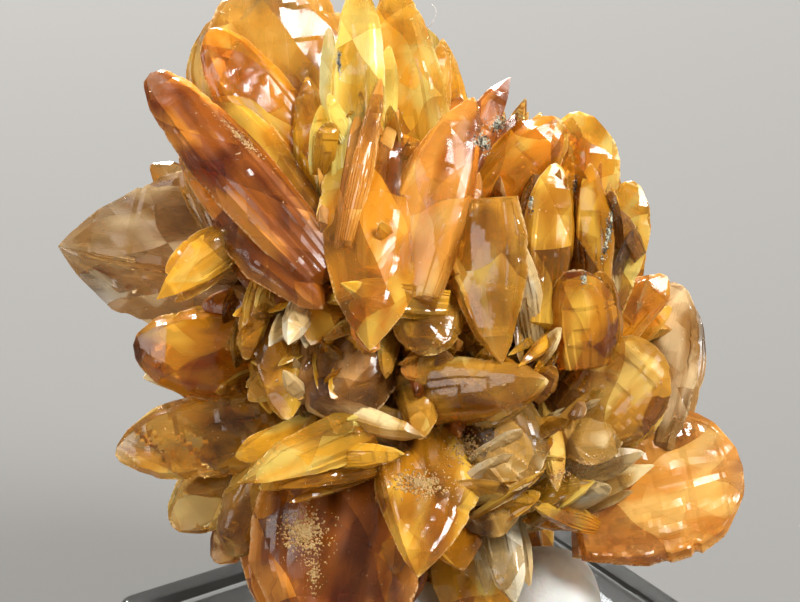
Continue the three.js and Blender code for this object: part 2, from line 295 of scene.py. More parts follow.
BLADE_SHIFT = 4.0
MOTTLE_SCALE = 190.0
CELL_SCALE, CELL_TURN, CELL_SHAPE, CELL_WARP = 250.0, -0.5, (1.0, 0.4, 0.7), 0.0022
FLAKE_SCALE, FLAKE_TURN, FLAKE_SHAPE, FLAKE_WARP = 520.0, 0.58, (1.0, 0.45, 0.7), 0.001
RIB_SCALE, RIB_SHAPE = 900.0, (1.0, 0.12, 1.0)
VEIL_SCALE, VEIL_SHAPE = 300.0, (1.0, 0.45, 0.6)
GRAIN_SCALE = 2600.0
CELL_SHADE, FLAKE_SHADE, VEIL_SHADE, RIB_SHADE = 0.26, 0.14, 0.4, 0.2
ZONE_EDGE, ZONE_LUCK, ZONE_SHADE = 0.45, 0.4, 0.6
SHADE_RANGE, VEIL_RANGE, TONE_PLACES = (0.2, 0.8), (0.3, 0.7), (0.06, 0.38, 0.62, 0.92)
# The rim frost's pale colour is partly a painted edge highlight; the pale specks are painted sparkle.
FROST_AND_HIGHLIGHT_EDGE, FROST_AND_HIGHLIGHT_GRAIN, FROST_AND_HIGHLIGHT_VEILS = (0.94, 1.0), (0.35, 0.6), (0.4, 0.6)
SPARKLE_RANGE, PAINTED_SPARKLE = (0.82, 0.86), 0.4
MOTTLE_CLOUD, VEIL_CLOUD, CELL_CLOUD, CLOUD_RANGE = 0.5, 0.3, 0.2, (0.36, 0.62)
LEAST_CLOUD, MOST_CLOUD = 0.45, 1.5
ROUGH_RANGE, LEAST_ROUGH, MOST_ROUGH = (0.35, 0.7), 0.5, 1.9
VEILED_ROUGH, VEILED_HAZE, FROST_HAZE = 1.4, 0.04, 0.3
FLAKE_TILT, MOTTLE_RELIEF = 0.3, 0.2


@dataclass(frozen=True)
class Patterns:
    """The patterns that a blade's material is mixed from, in the blade's own axes."""

    own: Signal
    luck: Signal
    edge: Signal
    mottle: Signal
    cell: Signal
    flake: Signal
    ribs: Signal
    veils: Signal
    grain: Signal

    @classmethod
    def on(cls, bench: Bench) -> Patterns:
        """Lays the patterns out.

        Args:
            bench: Where the material's nodes are.

        Returns:
            Slow mottling, two sizes of cleavage patch, ribs, veils and grain, shifted from blade to blade.
        """
        own, luck = bench.attribute("own", "Vector"), bench.attribute("luck")
        place = own + luck * BLADE_SHIFT
        mottle = bench.noise(place, MOTTLE_SCALE, 0.0)
        cells = place.turned(CELL_TURN).stretched(CELL_SHAPE)
        flakes = place.turned(FLAKE_TURN).stretched(FLAKE_SHAPE)
        return cls(
            own=own, luck=luck, edge=bench.attribute("rim"), mottle=mottle,
            cell=bench.blocks(cells + mottle * CELL_WARP, CELL_SCALE),
            flake=bench.blocks(flakes + mottle * FLAKE_WARP, FLAKE_SCALE),
            ribs=bench.noise(place.stretched(RIB_SHAPE), RIB_SCALE, 0.0),
            veils=bench.noise(place.stretched(VEIL_SHAPE), VEIL_SCALE, 1.0),
            grain=bench.noise(place, GRAIN_SCALE, 0.0),
        )


@dataclass(frozen=True)
class SeleniteFinish:
    """One colour of gypsum: how it takes up light, and the patches, veils and ribs that show in it."""

    name: str
    absorb: Colour
    density: float
    # The tone ramp's colours: painted_glow is a painted glow of light passing through, light is the body's
    # tone, and deep is the dark tone with painted shade.
    painted_glow: Colour
    light: Colour
    deep: Colour
    cloud: float = 0.6
    rough: float = 0.1
    ribs: float = 0.25
    # How much of the rim is frosted and painted with a pale edge highlight.
    frost: float = 0.6
    mosaic: float = 0.25
    solid: bool = False
    thin_plate: float = 0.0022
    clear_colour: Colour = (1.0, 0.96, 0.9, 1.0)
    clear_shine: float = 0.35
    veiled_shine: float = 0.3
    veiled_through: float = 0.32
    # The pale colour of frosted rims and specks, partly a painted edge highlight and painted sparkle.
    rime: Colour = (0.95, 0.74, 0.42, 1)
    relief: float = 0.00006

    def _tint(self) -> Colour:
        """The colour that light takes on through a plate of the thin kind."""
        return (*(math.exp(-(1 - share) * self.density * self.thin_plate) for share in self.absorb[:3]), 1.0)

    def _tone(self, bench: Bench, seen: Patterns) -> Signal:
        """The veiled body's colour.

        Args:
            bench: Where the material's nodes are.
            seen: The blade's patterns.

        Returns:
            Deep, light or painted glow from patch to patch, the deep ones partly painted shade; each blade is
            darker or paler towards its rim, partly a painted glow.
        """
        # Each blade is paler towards its rim or towards its core: partly colour zoning, partly a painted glow
        # of light through its thinner parts.
        zoning_and_glow = (seen.edge - ZONE_EDGE) * (seen.luck - ZONE_LUCK) * ZONE_SHADE
        patches = seen.cell.first() * CELL_SHADE + seen.flake.first() * FLAKE_SHADE
        shade = patches + seen.veils.ranged(*VEIL_RANGE) * VEIL_SHADE + seen.ribs * RIB_SHADE + zoning_and_glow
        # The ramp runs from deep, partly painted shade, through the body's tone to painted_glow, a painted glow
        # of light passing through.
        stops = list(zip(TONE_PLACES, (self.deep, self.light, self.light, self.painted_glow)))
        return bench.ramp(shade.ranged(*SHADE_RANGE), stops)

    def _frosty(self, seen: Patterns) -> Signal:
        """How frosted the surface is, on parts of the rim and in specks; the pale rime on the rim is partly a
        painted edge highlight, and the specks are painted sparkle.
        """
        rim = seen.edge.ranged(*FROST_AND_HIGHLIGHT_EDGE) * seen.grain.ranged(*FROST_AND_HIGHLIGHT_GRAIN) * seen.veils.ranged(*FROST_AND_HIGHLIGHT_VEILS)
        return rim * self.frost + seen.grain.ranged(*SPARKLE_RANGE) * PAINTED_SPARKLE

    def _cloudy(self, seen: Patterns) -> Signal:
        """How much of the body is veiled."""
        veiled = seen.mottle * MOTTLE_CLOUD + seen.veils * VEIL_CLOUD + seen.cell.first() * CELL_CLOUD
        return veiled.ranged(*CLOUD_RANGE, self.cloud * LEAST_CLOUD, self.cloud * MOST_CLOUD)

    def _height(self, seen: Patterns) -> Signal:
        """The surface's height: a slightly different tilt for each cleavage patch, with ribs and mottling."""
        tilts = (seen.cell - 0.5) * self.mosaic + (seen.flake - 0.5) * (self.mosaic * FLAKE_TILT)
        return seen.own.dot(tilts) + (seen.ribs * self.ribs + seen.mottle * MOTTLE_RELIEF) * self.relief

    def material(self, thin: bool) -> bpy.types.Material:
        """Builds the finish.

        Args:
            thin: Whether it is for thin plates, which tint the light at their faces and not by their depth.

        Returns:
            A clear and a veiled body, mixed by veils, frost and the painted edge highlight and sparkle, over an
            even absorption if it isn't thin.
        """
        made = bpy.data.materials.new(self.name + ("_thin" if thin else ""))
        bench = Bench(made)
        seen = Patterns.on(bench)
        frost_and_glints = self._frosty(seen)
        rough = seen.ribs.ranged(*ROUGH_RANGE, self.rough * LEAST_ROUGH, self.rough * MOST_ROUGH)
        bump = bench.bump(self._height(seen), 1.0, 1.0)
        # The veiled body's colour carries the painted glow and shade of the tone ramp, and the pale painted
        # edge highlight and sparkle.
        veiled = bench.body({
            "Base Color": bench.blend(frost_and_glints, self._tone(bench, seen), self.rime),
            "Roughness": rough * VEILED_ROUGH + VEILED_HAZE + frost_and_glints * FROST_HAZE, "IOR": GYPSUM_IOR,
            "Specular IOR Level": self.veiled_shine, "Normal": bump,
            "Transmission Weight": 0.0 if self.solid else self.veiled_through,
        })
        if self.solid:
            bench.finish(veiled)
            return made
        clear = bench.body({
            "Base Color": self._tint() if thin else self.clear_colour, "Roughness": rough, "IOR": GYPSUM_IOR,
            "Specular IOR Level": self.clear_shine, "Transmission Weight": 1.0, "Normal": bump,
        })
        inside = None if thin else bench.absorption(self.absorb, self.density)
        bench.finish(bench.mixed(self._cloudy(seen) + frost_and_glints, clear, veiled), inside)
        return made


class Tone(Enum):
    """The colours of blade that the cluster holds."""

    RED_BROWN = SeleniteFinish(
        "red_brown_selenite", (0.85, 0.4, 0.01, 1), 640.0,
        (0.75, 0.27, 0.03, 1), (0.33, 0.085, 0.008, 1), (0.12, 0.026, 0.003, 1), 0.75, 0.14)
    MAUVE = SeleniteFinish(
        "mauve_selenite", (0.88, 0.6, 0.18, 1), 420.0,
        (0.85, 0.46, 0.16, 1), (0.36, 0.15, 0.035, 1), (0.12, 0.04, 0.008, 1), 0.55, 0.13)
    ORANGE = SeleniteFinish(
        "orange_selenite", (0.985, 0.67, 0.02, 1), 560.0,
        (1.0, 0.6, 0.08, 1), (0.9, 0.34, 0.018, 1), (0.46, 0.13, 0.006, 1), 0.6)
    PEACH = SeleniteFinish(
        "peach_selenite", (0.98, 0.69, 0.06, 1), 480.0,
        (1.0, 0.56, 0.13, 1), (0.84, 0.34, 0.045, 1), (0.48, 0.15, 0.01, 1), 0.65, 0.14)
    AMBER = SeleniteFinish(
        "amber_selenite", (0.965, 0.69, 0.02, 1), 580.0,
        (1.0, 0.56, 0.06, 1), (0.66, 0.26, 0.013, 1), (0.24, 0.07, 0.004, 1), 0.6)
    HONEY = SeleniteFinish(
        "honey_selenite", (0.97, 0.77, 0.06, 1), 520.0,
        (1.0, 0.66, 0.15, 1), (0.7, 0.33, 0.035, 1), (0.3, 0.12, 0.01, 1), 0.6)
    YELLOW = SeleniteFinish(
        "yellow_selenite", (0.995, 0.79, 0.03, 1), 540.0,
        (1.0, 0.74, 0.16, 1), (1.0, 0.5, 0.035, 1), (0.62, 0.23, 0.008, 1), 0.6)
    # A pale copy of the yellow tone, painted as if lit from behind: a painted glow of backlight.
    SUNLIT = SeleniteFinish(
        "sunlit_selenite", (0.998, 0.9, 0.2, 1), 320.0,
        (1.0, 0.93, 0.45, 1), (1.0, 0.76, 0.16, 1), (0.9, 0.46, 0.03, 1), 0.8)
    SMOKY = SeleniteFinish(
        "smoky_selenite", (0.9, 0.68, 0.18, 1), 420.0,
        (0.95, 0.68, 0.34, 1), (0.48, 0.25, 0.07, 1), (0.17, 0.075, 0.014, 1), 0.6, 0.16, 0.7)
    OLIVE = SeleniteFinish(
        "olive_selenite", (0.92, 0.77, 0.1, 1), 420.0,
        (0.95, 0.68, 0.18, 1), (0.5, 0.3, 0.045, 1), (0.2, 0.1, 0.01, 1), 0.55, 0.15, 0.5)
    ROUGH_GOLD = SeleniteFinish(
        "rough_gold_selenite", (0.94, 0.73, 0.12, 1), 460.0,
        (1.0, 0.76, 0.36, 1), (0.58, 0.31, 0.06, 1), (0.17, 0.07, 0.01, 1), 0.75, 0.24, 0.6)
    PALE = SeleniteFinish(
        "pale_selenite", (0.98, 0.88, 0.5, 1), 260.0,
        (1.0, 0.9, 0.66, 1), (0.86, 0.6, 0.26, 1), (0.46, 0.24, 0.06, 1), 0.65, 0.2, 0.5)
    HEART = SeleniteFinish(
        "heart_selenite", (0.9, 0.6, 0.12, 1), 200.0,
        (0.72, 0.36, 0.06, 1), (0.36, 0.15, 0.02, 1), (0.09, 0.028, 0.005, 1), solid=True)


@dataclass(frozen=True)
class TackFinish:
    """Soft white putty with a matt, faintly dimpled skin."""

    colour: Colour = (0.93, 0.92, 0.89, 1)
    shade: Colour = (0.82, 0.8, 0.76, 1)
    blotch_scale: float = 240.0
    skin_scale: float = 2400.0
    rough: Pair = (0.5, 0.75)
    dimple: float = 0.35

    def material(self) -> bpy.types.Material:
        """Builds the finish.

        Returns:
            The putty's material.
        """
        made = bpy.data.materials.new("white_tack")
        bench = Bench(made)
        place = bench.place()
        blotch = bench.noise(place, self.blotch_scale)
        skin = bench.noise(place, self.skin_scale, 1.0)
        tone = bench.blend(blotch.ranged(0.3, 0.7), self.shade, self.colour)
        bench.finish(bench.body({
            "Base Color": tone, "Roughness": skin.ranged(0.3, 0.7, *self.rough), "Subsurface Weight": 0.25,
            "Subsurface Scale": 0.002, "Normal": bench.bump(skin * self.dimple + blotch, 0.4, 0.0003),
        }))
        return made


@dataclass(frozen=True)
class AcrylicFinish:
    """Polished clear acrylic with a faint haze of handling marks."""

    colour: Colour = (0.98, 0.99, 1.0, 1)
    absorb: Colour = (0.9, 0.97, 0.98, 1)
    density: float = 12.0
    haze_scale: float = 60.0
    rough: Pair = (0.01, 0.09)

    def material(self) -> bpy.types.Material:
        """Builds the finish.

        Returns:
            The acrylic's material.
        """
        made = bpy.data.materials.new("clear_acrylic")
        bench = Bench(made)
        haze = bench.noise(bench.place(), self.haze_scale, 3.0)
        body = bench.body({
            "Base Color": self.colour, "Roughness": haze.ranged(0.4, 0.75, *self.rough), "IOR": ACRYLIC_IOR,
            "Transmission Weight": 1.0,
        })
        bench.finish(body, bench.absorption(self.absorb, self.density))
        return made


# The eye and the blades


@dataclass(frozen=True)
class Eye:
    """Where the crystals are seen from, and the picture's frame."""

    elevation: float = 24.0
    distance: float = 300.0
    looked_at: Point = (-4.2, 0.0, 45.9)
    picture_wide: float = 80.0

    @property
    def across(self) -> Vector:
        """The direction to the eye's right."""
        return Vector((1.0, 0.0, 0.0))

    @property
    def upwards(self) -> Vector:
        """The direction that the eye sees as up."""
        lean = math.radians(self.elevation)
        return Vector((0.0, math.sin(lean), math.cos(lean)))

    @property
    def nearer(self) -> Vector:
        """The direction towards the eye."""
        lean = math.radians(self.elevation)
        return Vector((0.0, -math.cos(lean), math.sin(lean)))

    def point(self, seen: Point) -> Vector:
        """The place in space that the eye sees at a point of the picture.

        Args:
            seen: Millimetres across, up and towards the eye from the point that the eye looks at.

        Returns:
            The place, in millimetres in the row frame.
        """
        right, up, near = seen
        scale = (self.distance - near) / self.distance
        aside = self.across * right * scale + self.upwards * up * scale
        return Vector(self.looked_at) + aside + self.nearer * near


@dataclass(frozen=True)
class Oval:
    """An oval that the eye sees, in millimetres of the picture; tilt is in degrees."""

    middle: Pair
    half: Pair
    tilt: float = 0.0

    def point(self, reach: float, turn: float) -> tuple[Pair, float]:
        """A place in the oval.

        Args:
            reach: How far out it is, as a share of the way to the oval's rim.
            turn: Its direction from the middle, in radians.

        Returns:
            Its place across and up, and how far it is towards the oval's right end, from -1 to 1.
        """
        lean = math.radians(self.tilt)
        across, up = self.half[0] * reach * math.cos(turn), self.half[1] * reach * math.sin(turn)
        u = self.middle[0] + across * math.cos(lean) - up * math.sin(lean)
        v = self.middle[1] + across * math.sin(lean) + up * math.cos(lean)
        return (u, v), across / self.half[0]


class RidgeWay(Enum):
    """How the ridges on a blade's face run."""

    SLANTED = "slanted across the face"
    FANNED = "spread from the root"
    ALONG = "with the rims, from root to tip"


@dataclass(frozen=True)
class Ridges:
    """Marked growth ridges on a face. pitch is in millimetres, or in degrees where they are fanned."""

    way: RidgeWay
    pitch: float
    deep: float
    slant: float = 0.0
    half: int = 0


@dataclass
class Blade:
    """One lens-shaped crystal, from its root to its tip."""

    name: str
    root_at: Vector
    tip_at: Vector
    left: float
    right: float
    thick: float
    tone: Tone
    roll: float = 0.0
    widest: float = 0.4
    blunt: float = 1.2
    foot: float = 0.7
    table: float = 0.66
    taper: float = 0.5
    steps: float = 0.15
    chips: int = 3
    ridges: Ridges | None = None


@dataclass(frozen=True)
class FaceGrid:
    """Where a face's points lie: across and along in millimetres, and across as a share of the half width."""

    x: np.ndarray
    y: np.ndarray
    t: np.ndarray

    def slanted(self, degrees: float) -> np.ndarray:
        """How far each point lies along a direction between across and along."""
        slant = math.radians(degrees)
        return self.x * math.cos(slant) + self.y * math.sin(slant)


@dataclass
class BladeMaker:
    """Builds a blade's mesh: two faceted faces that meet in a chipped knife edge, with growth steps."""

    eye: Eye
    rows: int = 46
    table_cells: int = 16
    bevel_cells: int = 6
    last_row: float = 0.985
    row_crowding: float = 1.3
    corners: tuple[float, ...] = (0.22, 0.44, 0.66, 0.84, 0.93)
    corner_shift: float = 0.05
    round_from: float = 1.7
    straightness: float = 0.85
    waves: tuple[tuple[float, float, float], ...] = ((7, 0.035, 0), (45, 0.012, 5))
    chip_middle: Pair = (0.3, 1.0)
    chip_wide: Pair = (0.01, 0.035)
    chip_deep: Pair = (0.02, 0.07)
    chip_round: float = 0.6
    root_slope: float = 0.06
    tip_slope: float = 0.16
    end_round: float = 0.9
    bevel_round: float = 1.1
    rim_from: float = 0.8
    planes: int = 6
    plane_tilt: float = 0.42
    plane_high: Pair = (0.72, 1.0)
    plane_least: float = 0.35
    step_slant: Pair = (20, 70)
    step_pitch: Pair = (1.8, 3.6)
    nested_steps: Pair = (2.4, 4.2)
    nested_from: float = 0.3
    nested_warp: float = 0.25
    slanted_share: float = 0.5
    slanted_warp: float = 0.4
    ridge_warp: float = 0.8
    rim_flat: float = 0.18
    warp_rate: Pair = (0.22, 0.14)
    swell: float = 0.05
    least: float = 0.25
    crease_angle: float = 6.0

    def build(self, blade: Blade) -> bpy.types.Object:
        """Makes the blade as a Blender object.

        Args:
            blade: The blade's sizes.

        Returns:
            The new object, with its mesh in the blade's own axes. Its points also hold how near the rim they
            are, a number that is the blade's own, and their place in its axes, which stay when it is joined.
        """
        axis = (blade.tip_at - blade.root_at).normalized()
        face = (self.eye.nearer - axis * self.eye.nearer.dot(axis)).normalized()
        face.rotate(Matrix.Rotation(-math.radians(blade.roll), 3, axis))
        side = axis.cross(face)
        vertices, faces, rim = self._shell(blade, (blade.tip_at - blade.root_at).length)
        mesh = bpy.data.meshes.new(blade.name)
        mesh.from_pydata([Vector(v) * MM for v in vertices], [], faces)
        mesh.attributes.new("rim", "FLOAT", "POINT").data.foreach_set("value", rim)
        luck = random.Random(blade.name + " luck").random()
        mesh.attributes.new("luck", "FLOAT", "POINT").data.foreach_set("value", [luck] * len(vertices))
        own = mesh.attributes.new("own", "FLOAT_VECTOR", "POINT")
        own.data.foreach_set("vector", [c * MM for v in vertices for c in v])
        turn = Matrix((side, axis, face)).transposed().to_4x4()
        made = bpy.data.objects.new(blade.name, mesh)
        bpy.context.collection.objects.link(made)
        made.matrix_world = Matrix.Translation(blade.root_at * MM) @ turn
        self._rest(made)
        mesh.shade_smooth()
        mesh.set_sharp_from_angle(angle=math.radians(self.crease_angle))
        return made

    @staticmethod
    def _outline(blade: Blade, along: np.ndarray) -> np.ndarray:
        """The half width of the blade's outline, as a share of its widest."""
        rising = blade.foot + (1 - blade.foot) * np.sin(np.minimum(along / blade.widest, 1) * np.pi / 2)
        fall = np.clip((along - blade.widest) / (1 - blade.widest), 0, 1)
        return np.where(along < blade.widest, rising, (1 - fall**2) ** (1 / blade.blunt))

    def _cornered(self, blade: Blade, along: np.ndarray, luck: random.Random) -> np.ndarray:
        """The outline with straight runs between a few corners, slightly rounded.

        Args:
            blade: The blade's sizes.
            along: Places along the blade, from 0 to 1.
            luck: The source of the corners' places.

        Returns:
            The half width at each place, as a share of the widest.
        """
        inner = [c + luck.uniform(-self.corner_shift, self.corner_shift) for c in self.corners]
        if blade.blunt < self.round_from:
            inner.remove(inner[luck.randrange(3)])
        corners = [0.0, *inner, self.last_row]
        straight = np.interp(along, corners, self._outline(blade, np.array(corners)))
        return straight * self.straightness + self._outline(blade, along) * (1 - self.straightness)

    def _rim(self, blade: Blade, along: np.ndarray, luck: random.Random) -> np.ndarray:
        """How far chips and small waves pull one rim in.

        Args:
            blade: The blade's sizes.
            along: Places along the blade, from 0 to 1.
            luck: The source of the chips' places.

        Returns:
            A factor for the half width at each place.
        """
        phase = luck.uniform(0, 100)
        slow, fine = (
            np.array([noise.noise(Vector((phase, a * rate, layer))) * deep for a in along])
            for rate, deep, layer in self.waves
        )
        chips = np.zeros_like(along)
        for _ in range(blade.chips):
            ranges = (self.chip_middle, self.chip_wide, self.chip_deep)
            middle, wide, deep = (luck.uniform(*limits) for limits in ranges)
            near = np.clip(1 - np.abs(along - middle) / wide, 0, 1)
            chips = np.maximum(chips, deep * near ** self.chip_round)
        return 1 + slow + fine - chips

    def _shell(self, blade: Blade, length: float) -> tuple[list[Any], list[Any], list[float]]:
        """The vertices and faces of a blade in its own axes, and how near each vertex is to the rim.

        Args:
            blade: The blade's sizes.
            length: From root to tip, in millimetres.

        Returns:
            Vertices as across, along and through, faces as vertex numbers, and a share for each vertex.
        """
        luck = random.Random(blade.name)
        t = np.concatenate([
            np.linspace(-1, -blade.table, self.bevel_cells + 1)[:-1],
            np.linspace(-blade.table, blade.table, self.table_cells + 1)[:-1],
            np.linspace(blade.table, 1, self.bevel_cells + 1),
        ])
        s = (1 - (1 - np.linspace(0, 1, self.rows + 1)) ** self.row_crowding) * self.last_row
        left = blade.left * self._cornered(blade, s, luck) * self._rim(blade, s, luck)
        right = blade.right * self._cornered(blade, s, luck) * self._rim(blade, s, luck)
        grid = FaceGrid(
            np.where(t[None, :] < 0, left[:, None], right[:, None]) * t[None, :],
            np.repeat((s * length)[:, None], len(t), axis=1), np.repeat(t[None, :], len(s), axis=0),
        )
        ends = np.clip(np.minimum(s / self.root_slope, (1 - s) / self.tip_slope), 0, 1) ** self.end_round
        high = blade.thick / 2 * (1 - blade.taper * s) * ends
        bevels = 1 - np.clip((np.abs(t) - blade.table) / (1 - blade.table), 0, 1) ** self.bevel_round
        base = high[:, None] * bevels[None, :]
        base[0, :] = 0
        upper = self._detail(blade, grid, base, luck)
        lower = -self._detail(blade, grid, base, luck)
        tipward = np.clip((s[:, None] - self.rim_from) / (self.last_row - self.rim_from), 0, 1)
        return self._stitch(grid, [upper, lower], np.maximum(np.abs(grid.t), tipward), length)

    def _detail(self, blade: Blade, grid: FaceGrid, base: np.ndarray, luck: random.Random) -> np.ndarray:
        """Cuts one face with tilted planes, and adds its growth steps and ridges.

        Args:
            blade: The blade's sizes.
            grid: Where the face's points lie.
            base: The plain lens's height.
            luck: The source of the planes' tilts and the steps' slants.

        Returns:
            The face's height.
        """
        wide = max((blade.left + blade.right) / 2, 0.5)
        length = max(float(grid.y.max()), 0.5)
        height = base.copy()
        for _ in range(self.planes):
            across, along = (luck.uniform(-1, 1) * self.plane_tilt for _ in range(2))
            plane = luck.uniform(*self.plane_high) + across * grid.x / wide
            plane = plane + along * (grid.y / length - 0.5) * 2
            height = np.minimum(height, np.maximum(blade.thick / 2 * plane, base * self.plane_least))
        weight = np.clip(base / (blade.thick * self.rim_flat + 1e-6), 0, 1)
        slant = luck.uniform(*self.step_slant) * luck.choice((-1, 1))
        phase = luck.uniform(0, 50)
        places = zip((grid.x * self.warp_rate[0]).ravel(), (grid.y * self.warp_rate[1]).ravel())
        warp = np.array([noise.noise(Vector((px, py, phase))) for px, py in places]).reshape(grid.x.shape)
        nested = np.maximum(np.abs(grid.t), (grid.y / length - self.nested_from) / (1 - self.nested_from))
        step = weight * blade.steps
        nested = nested * luck.uniform(*self.nested_steps)
        height = height - step * self._saw(nested + warp * self.nested_warp)
        slanted = grid.slanted(slant) / luck.uniform(*self.step_pitch)
        height = height - step * self.slanted_share * self._saw(slanted + warp * self.slanted_warp)
        if blade.ridges:
            height = height - weight * blade.ridges.deep * self._ridged(blade.ridges, grid, warp)
        return np.maximum(height + weight * warp * self.swell, base * self.least)

    @staticmethod
    def _saw(run: np.ndarray) -> np.ndarray:
        """A row of steps: a long slope up and a short one down in each unit of a run."""
        part = run - np.floor(run)
        return np.minimum(part, (1 - part) * 6)

    def _ridged(self, ridges: Ridges, grid: FaceGrid, warp: np.ndarray) -> np.ndarray:
        """The steps of a face's marked ridges.

        Args:
            ridges: How they run.
            grid: Where the face's points lie.
            warp: Slow noise that keeps them from being quite even.

        Returns:
            The share of the ridges' depth at each place.
        """
        if ridges.way is RidgeWay.SLANTED:
            run = grid.slanted(ridges.slant) / ridges.pitch
        elif ridges.way is RidgeWay.FANNED:
            run = np.degrees(np.arctan2(grid.x, grid.y + 2.0)) / ridges.pitch
        else:
            run = grid.t / ridges.pitch
        kept = np.where(grid.t * ridges.half >= 0, 1.0, 0.0)
        return self._saw(run + warp * self.ridge_warp) * kept

    @staticmethod
    def _stitch(grid: FaceGrid, heights: list[np.ndarray], nearness: np.ndarray,
                length: float) -> tuple[list[Any], list[Any], list[float]]:
        """Joins two faces along their shared rim into one closed shell.

        Args:
            grid: Where each face's points lie.
            heights: The upper and the lower face's heights.
            nearness: How near each place is to the rim.
            length: From root to tip.

        Returns:
            Vertices, faces, and each vertex's nearness to the rim.
        """
        rows, columns = grid.x.shape
        vertices: list[Any] = []
        rim: list[float] = []
        numbers: list[np.ndarray] = []
        for lower, z in enumerate(heights):
            number = np.zeros((rows, columns), dtype=int)
            for i, j in np.ndindex(rows, columns):
                edge = i == 0 or j in (0, columns - 1)
                if lower and edge:
                    number[i, j] = numbers[0][i, j]
                    continue
                number[i, j] = len(vertices)
                vertices.append((float(grid.x[i, j]), float(grid.y[i, j]), 0.0 if edge else float(z[i, j])))
                rim.append(float(nearness[i, j]))
            numbers.append(number)
        tip = len(vertices)
        vertices.append((0.0, length, 0.0))
        rim.append(1.0)
        faces: list[Any] = []
        for lower, number in enumerate(numbers):
            way = -1 if lower else 1
            for i, j in np.ndindex(rows - 1, columns - 1):
                corner = (number[i, j], number[i, j + 1], number[i + 1, j + 1], number[i + 1, j])
                faces.append(tuple(int(c) for c in corner[::way]))
            for j in range(columns - 1):
                faces.append(tuple(int(c) for c in (number[-1, j], number[-1, j + 1], tip)[::way]))
        return vertices, faces, rim

    @staticmethod
    def _rest(made: bpy.types.Object) -> None:
        """Cuts a blade flat where it would reach below the level that the cluster rests on.

        Args:
            made: The blade's object, in its place.
        """
        to_world = made.matrix_world
        lowest = min((to_world @ v.co).z for v in made.data.vertices)
        if lowest >= REST_LEVEL * MM:
            return
        back = to_world.inverted()
        shell = bmesh.new()
        shell.from_mesh(made.data)
        everything = shell.verts[:] + shell.edges[:] + shell.faces[:]
        cut = bmesh.ops.bisect_plane(
            shell, geom=everything, plane_co=back @ Vector((0, 0, REST_LEVEL * MM)),
            plane_no=back.to_3x3() @ Vector((0, 0, 1)), clear_inner=True,
        )
        rim = [item for item in cut["geom_cut"] if isinstance(item, bmesh.types.BMEdge)]
        bmesh.ops.contextual_create(shell, geom=rim)
        shell.to_mesh(made.data)
        shell.free()


@dataclass(frozen=True)
class Thicket:
    """Small plates crowded into an oval that the eye sees, leaning much the same way.

    near is how near the eye they are at the oval's two ends; heading is in degrees from the eye's right.
    """

    name: str
    count: int
    oval: Oval
    near: Pair
    heading: Pair
    length: Pair
    half_width: Pair
    roll: Pair
    tones: tuple[Tone, ...]
    depth: float = 1.2
    sink: Pair = (1, 3)
    rise: Pair = (0, 1.5)
    right: Pair = (0.7, 1.2)
    thick: Pair = (0.5, 0.9)
    blunt: Pair = (1.1, 1.9)

    def blades(self, eye: Eye) -> Iterator[Blade]:
        """The thicket's plates.

        Args:
            eye: Where the oval is seen from.

        Yields:
            Each plate's sizes.
        """
        luck = random.Random(self.name)
        for i in range(self.count):
            (u, v), end = self.oval.point(math.sqrt(luck.random()), luck.uniform(0, math.tau))
            share = (end + 1) / 2
            near = self.near[0] * (1 - share) + self.near[1] * share + luck.uniform(-self.depth, self.depth)
            way = math.radians(luck.gauss(*self.heading))
            run = luck.uniform(*self.length)
            du, dv = math.cos(way) * run / 2, math.sin(way) * run / 2
            root = eye.point((u - du, v - dv, near - luck.uniform(*self.sink)))
            tip = eye.point((u + du, v + dv, near + luck.uniform(*self.rise)))
            wide = luck.uniform(*self.half_width)
            right, thick = wide * luck.uniform(*self.right), wide * luck.uniform(*self.thick)
            yield Blade(
                f"{self.name}_{i + 1}", root, tip, wide, right, thick, luck.choice(self.tones),
                roll=luck.choice((-1, 1)) * luck.uniform(*self.roll), blunt=luck.uniform(*self.blunt),
            )


THICKETS = (
    Thicket("side_plate", 30, Oval((14.5, -16.5), (8.0, 4.6), 18),
            (11.0, 2.0), (22, 13), (5, 10), (1.4, 2.8), (35, 75),
            (Tone.ROUGH_GOLD, Tone.PALE, Tone.HONEY, Tone.AMBER, Tone.HONEY, Tone.YELLOW)),
    Thicket("middle_shard", 26, Oval((-5.5, -6.0), (8.0, 5.2)),
            (10.0, 13.5), (250, 45), (2.5, 5.5), (0.7, 1.7), (0, 60),
            (Tone.HONEY, Tone.YELLOW, Tone.AMBER, Tone.MAUVE, Tone.PEACH, Tone.AMBER)),
    Thicket("crystal_stub", 20, Oval((9.0, -6.0), (7.5, 3.4)),
            (12.0, 11.0), (10, 50), (2.5, 5.0), (0.8, 1.8), (0, 70),
            (Tone.HONEY, Tone.ROUGH_GOLD, Tone.AMBER, Tone.YELLOW)),
    Thicket("crown_splinter", 14, Oval((-3.5, 14.0), (5.0, 6.0)),
            (9.0, 9.0), (92, 9), (4, 9), (0.6, 1.4), (10, 50),
            (Tone.YELLOW, Tone.PEACH, Tone.SUNLIT, Tone.HONEY)),
    Thicket("column_splinter", 18, Oval((18.5, 6.5), (4.4, 6.0)),
            (8.0, 6.0), (86, 14), (3, 7), (0.6, 1.4), (20, 70),
            (Tone.HONEY, Tone.AMBER, Tone.ROUGH_GOLD, Tone.MAUVE)),
    Thicket("cheek_shard", 14, Oval((-13.5, -4.0), (4.5, 6.0)),
            (7.0, 11.0), (215, 30), (3, 6), (0.8, 1.8), (0, 60),
            (Tone.AMBER, Tone.RED_BROWN, Tone.HONEY)),
)
FAR_TONES = (Tone.AMBER, Tone.ORANGE, Tone.HONEY, Tone.RED_BROWN, Tone.ROUGH_GOLD, Tone.YELLOW, Tone.MAUVE)
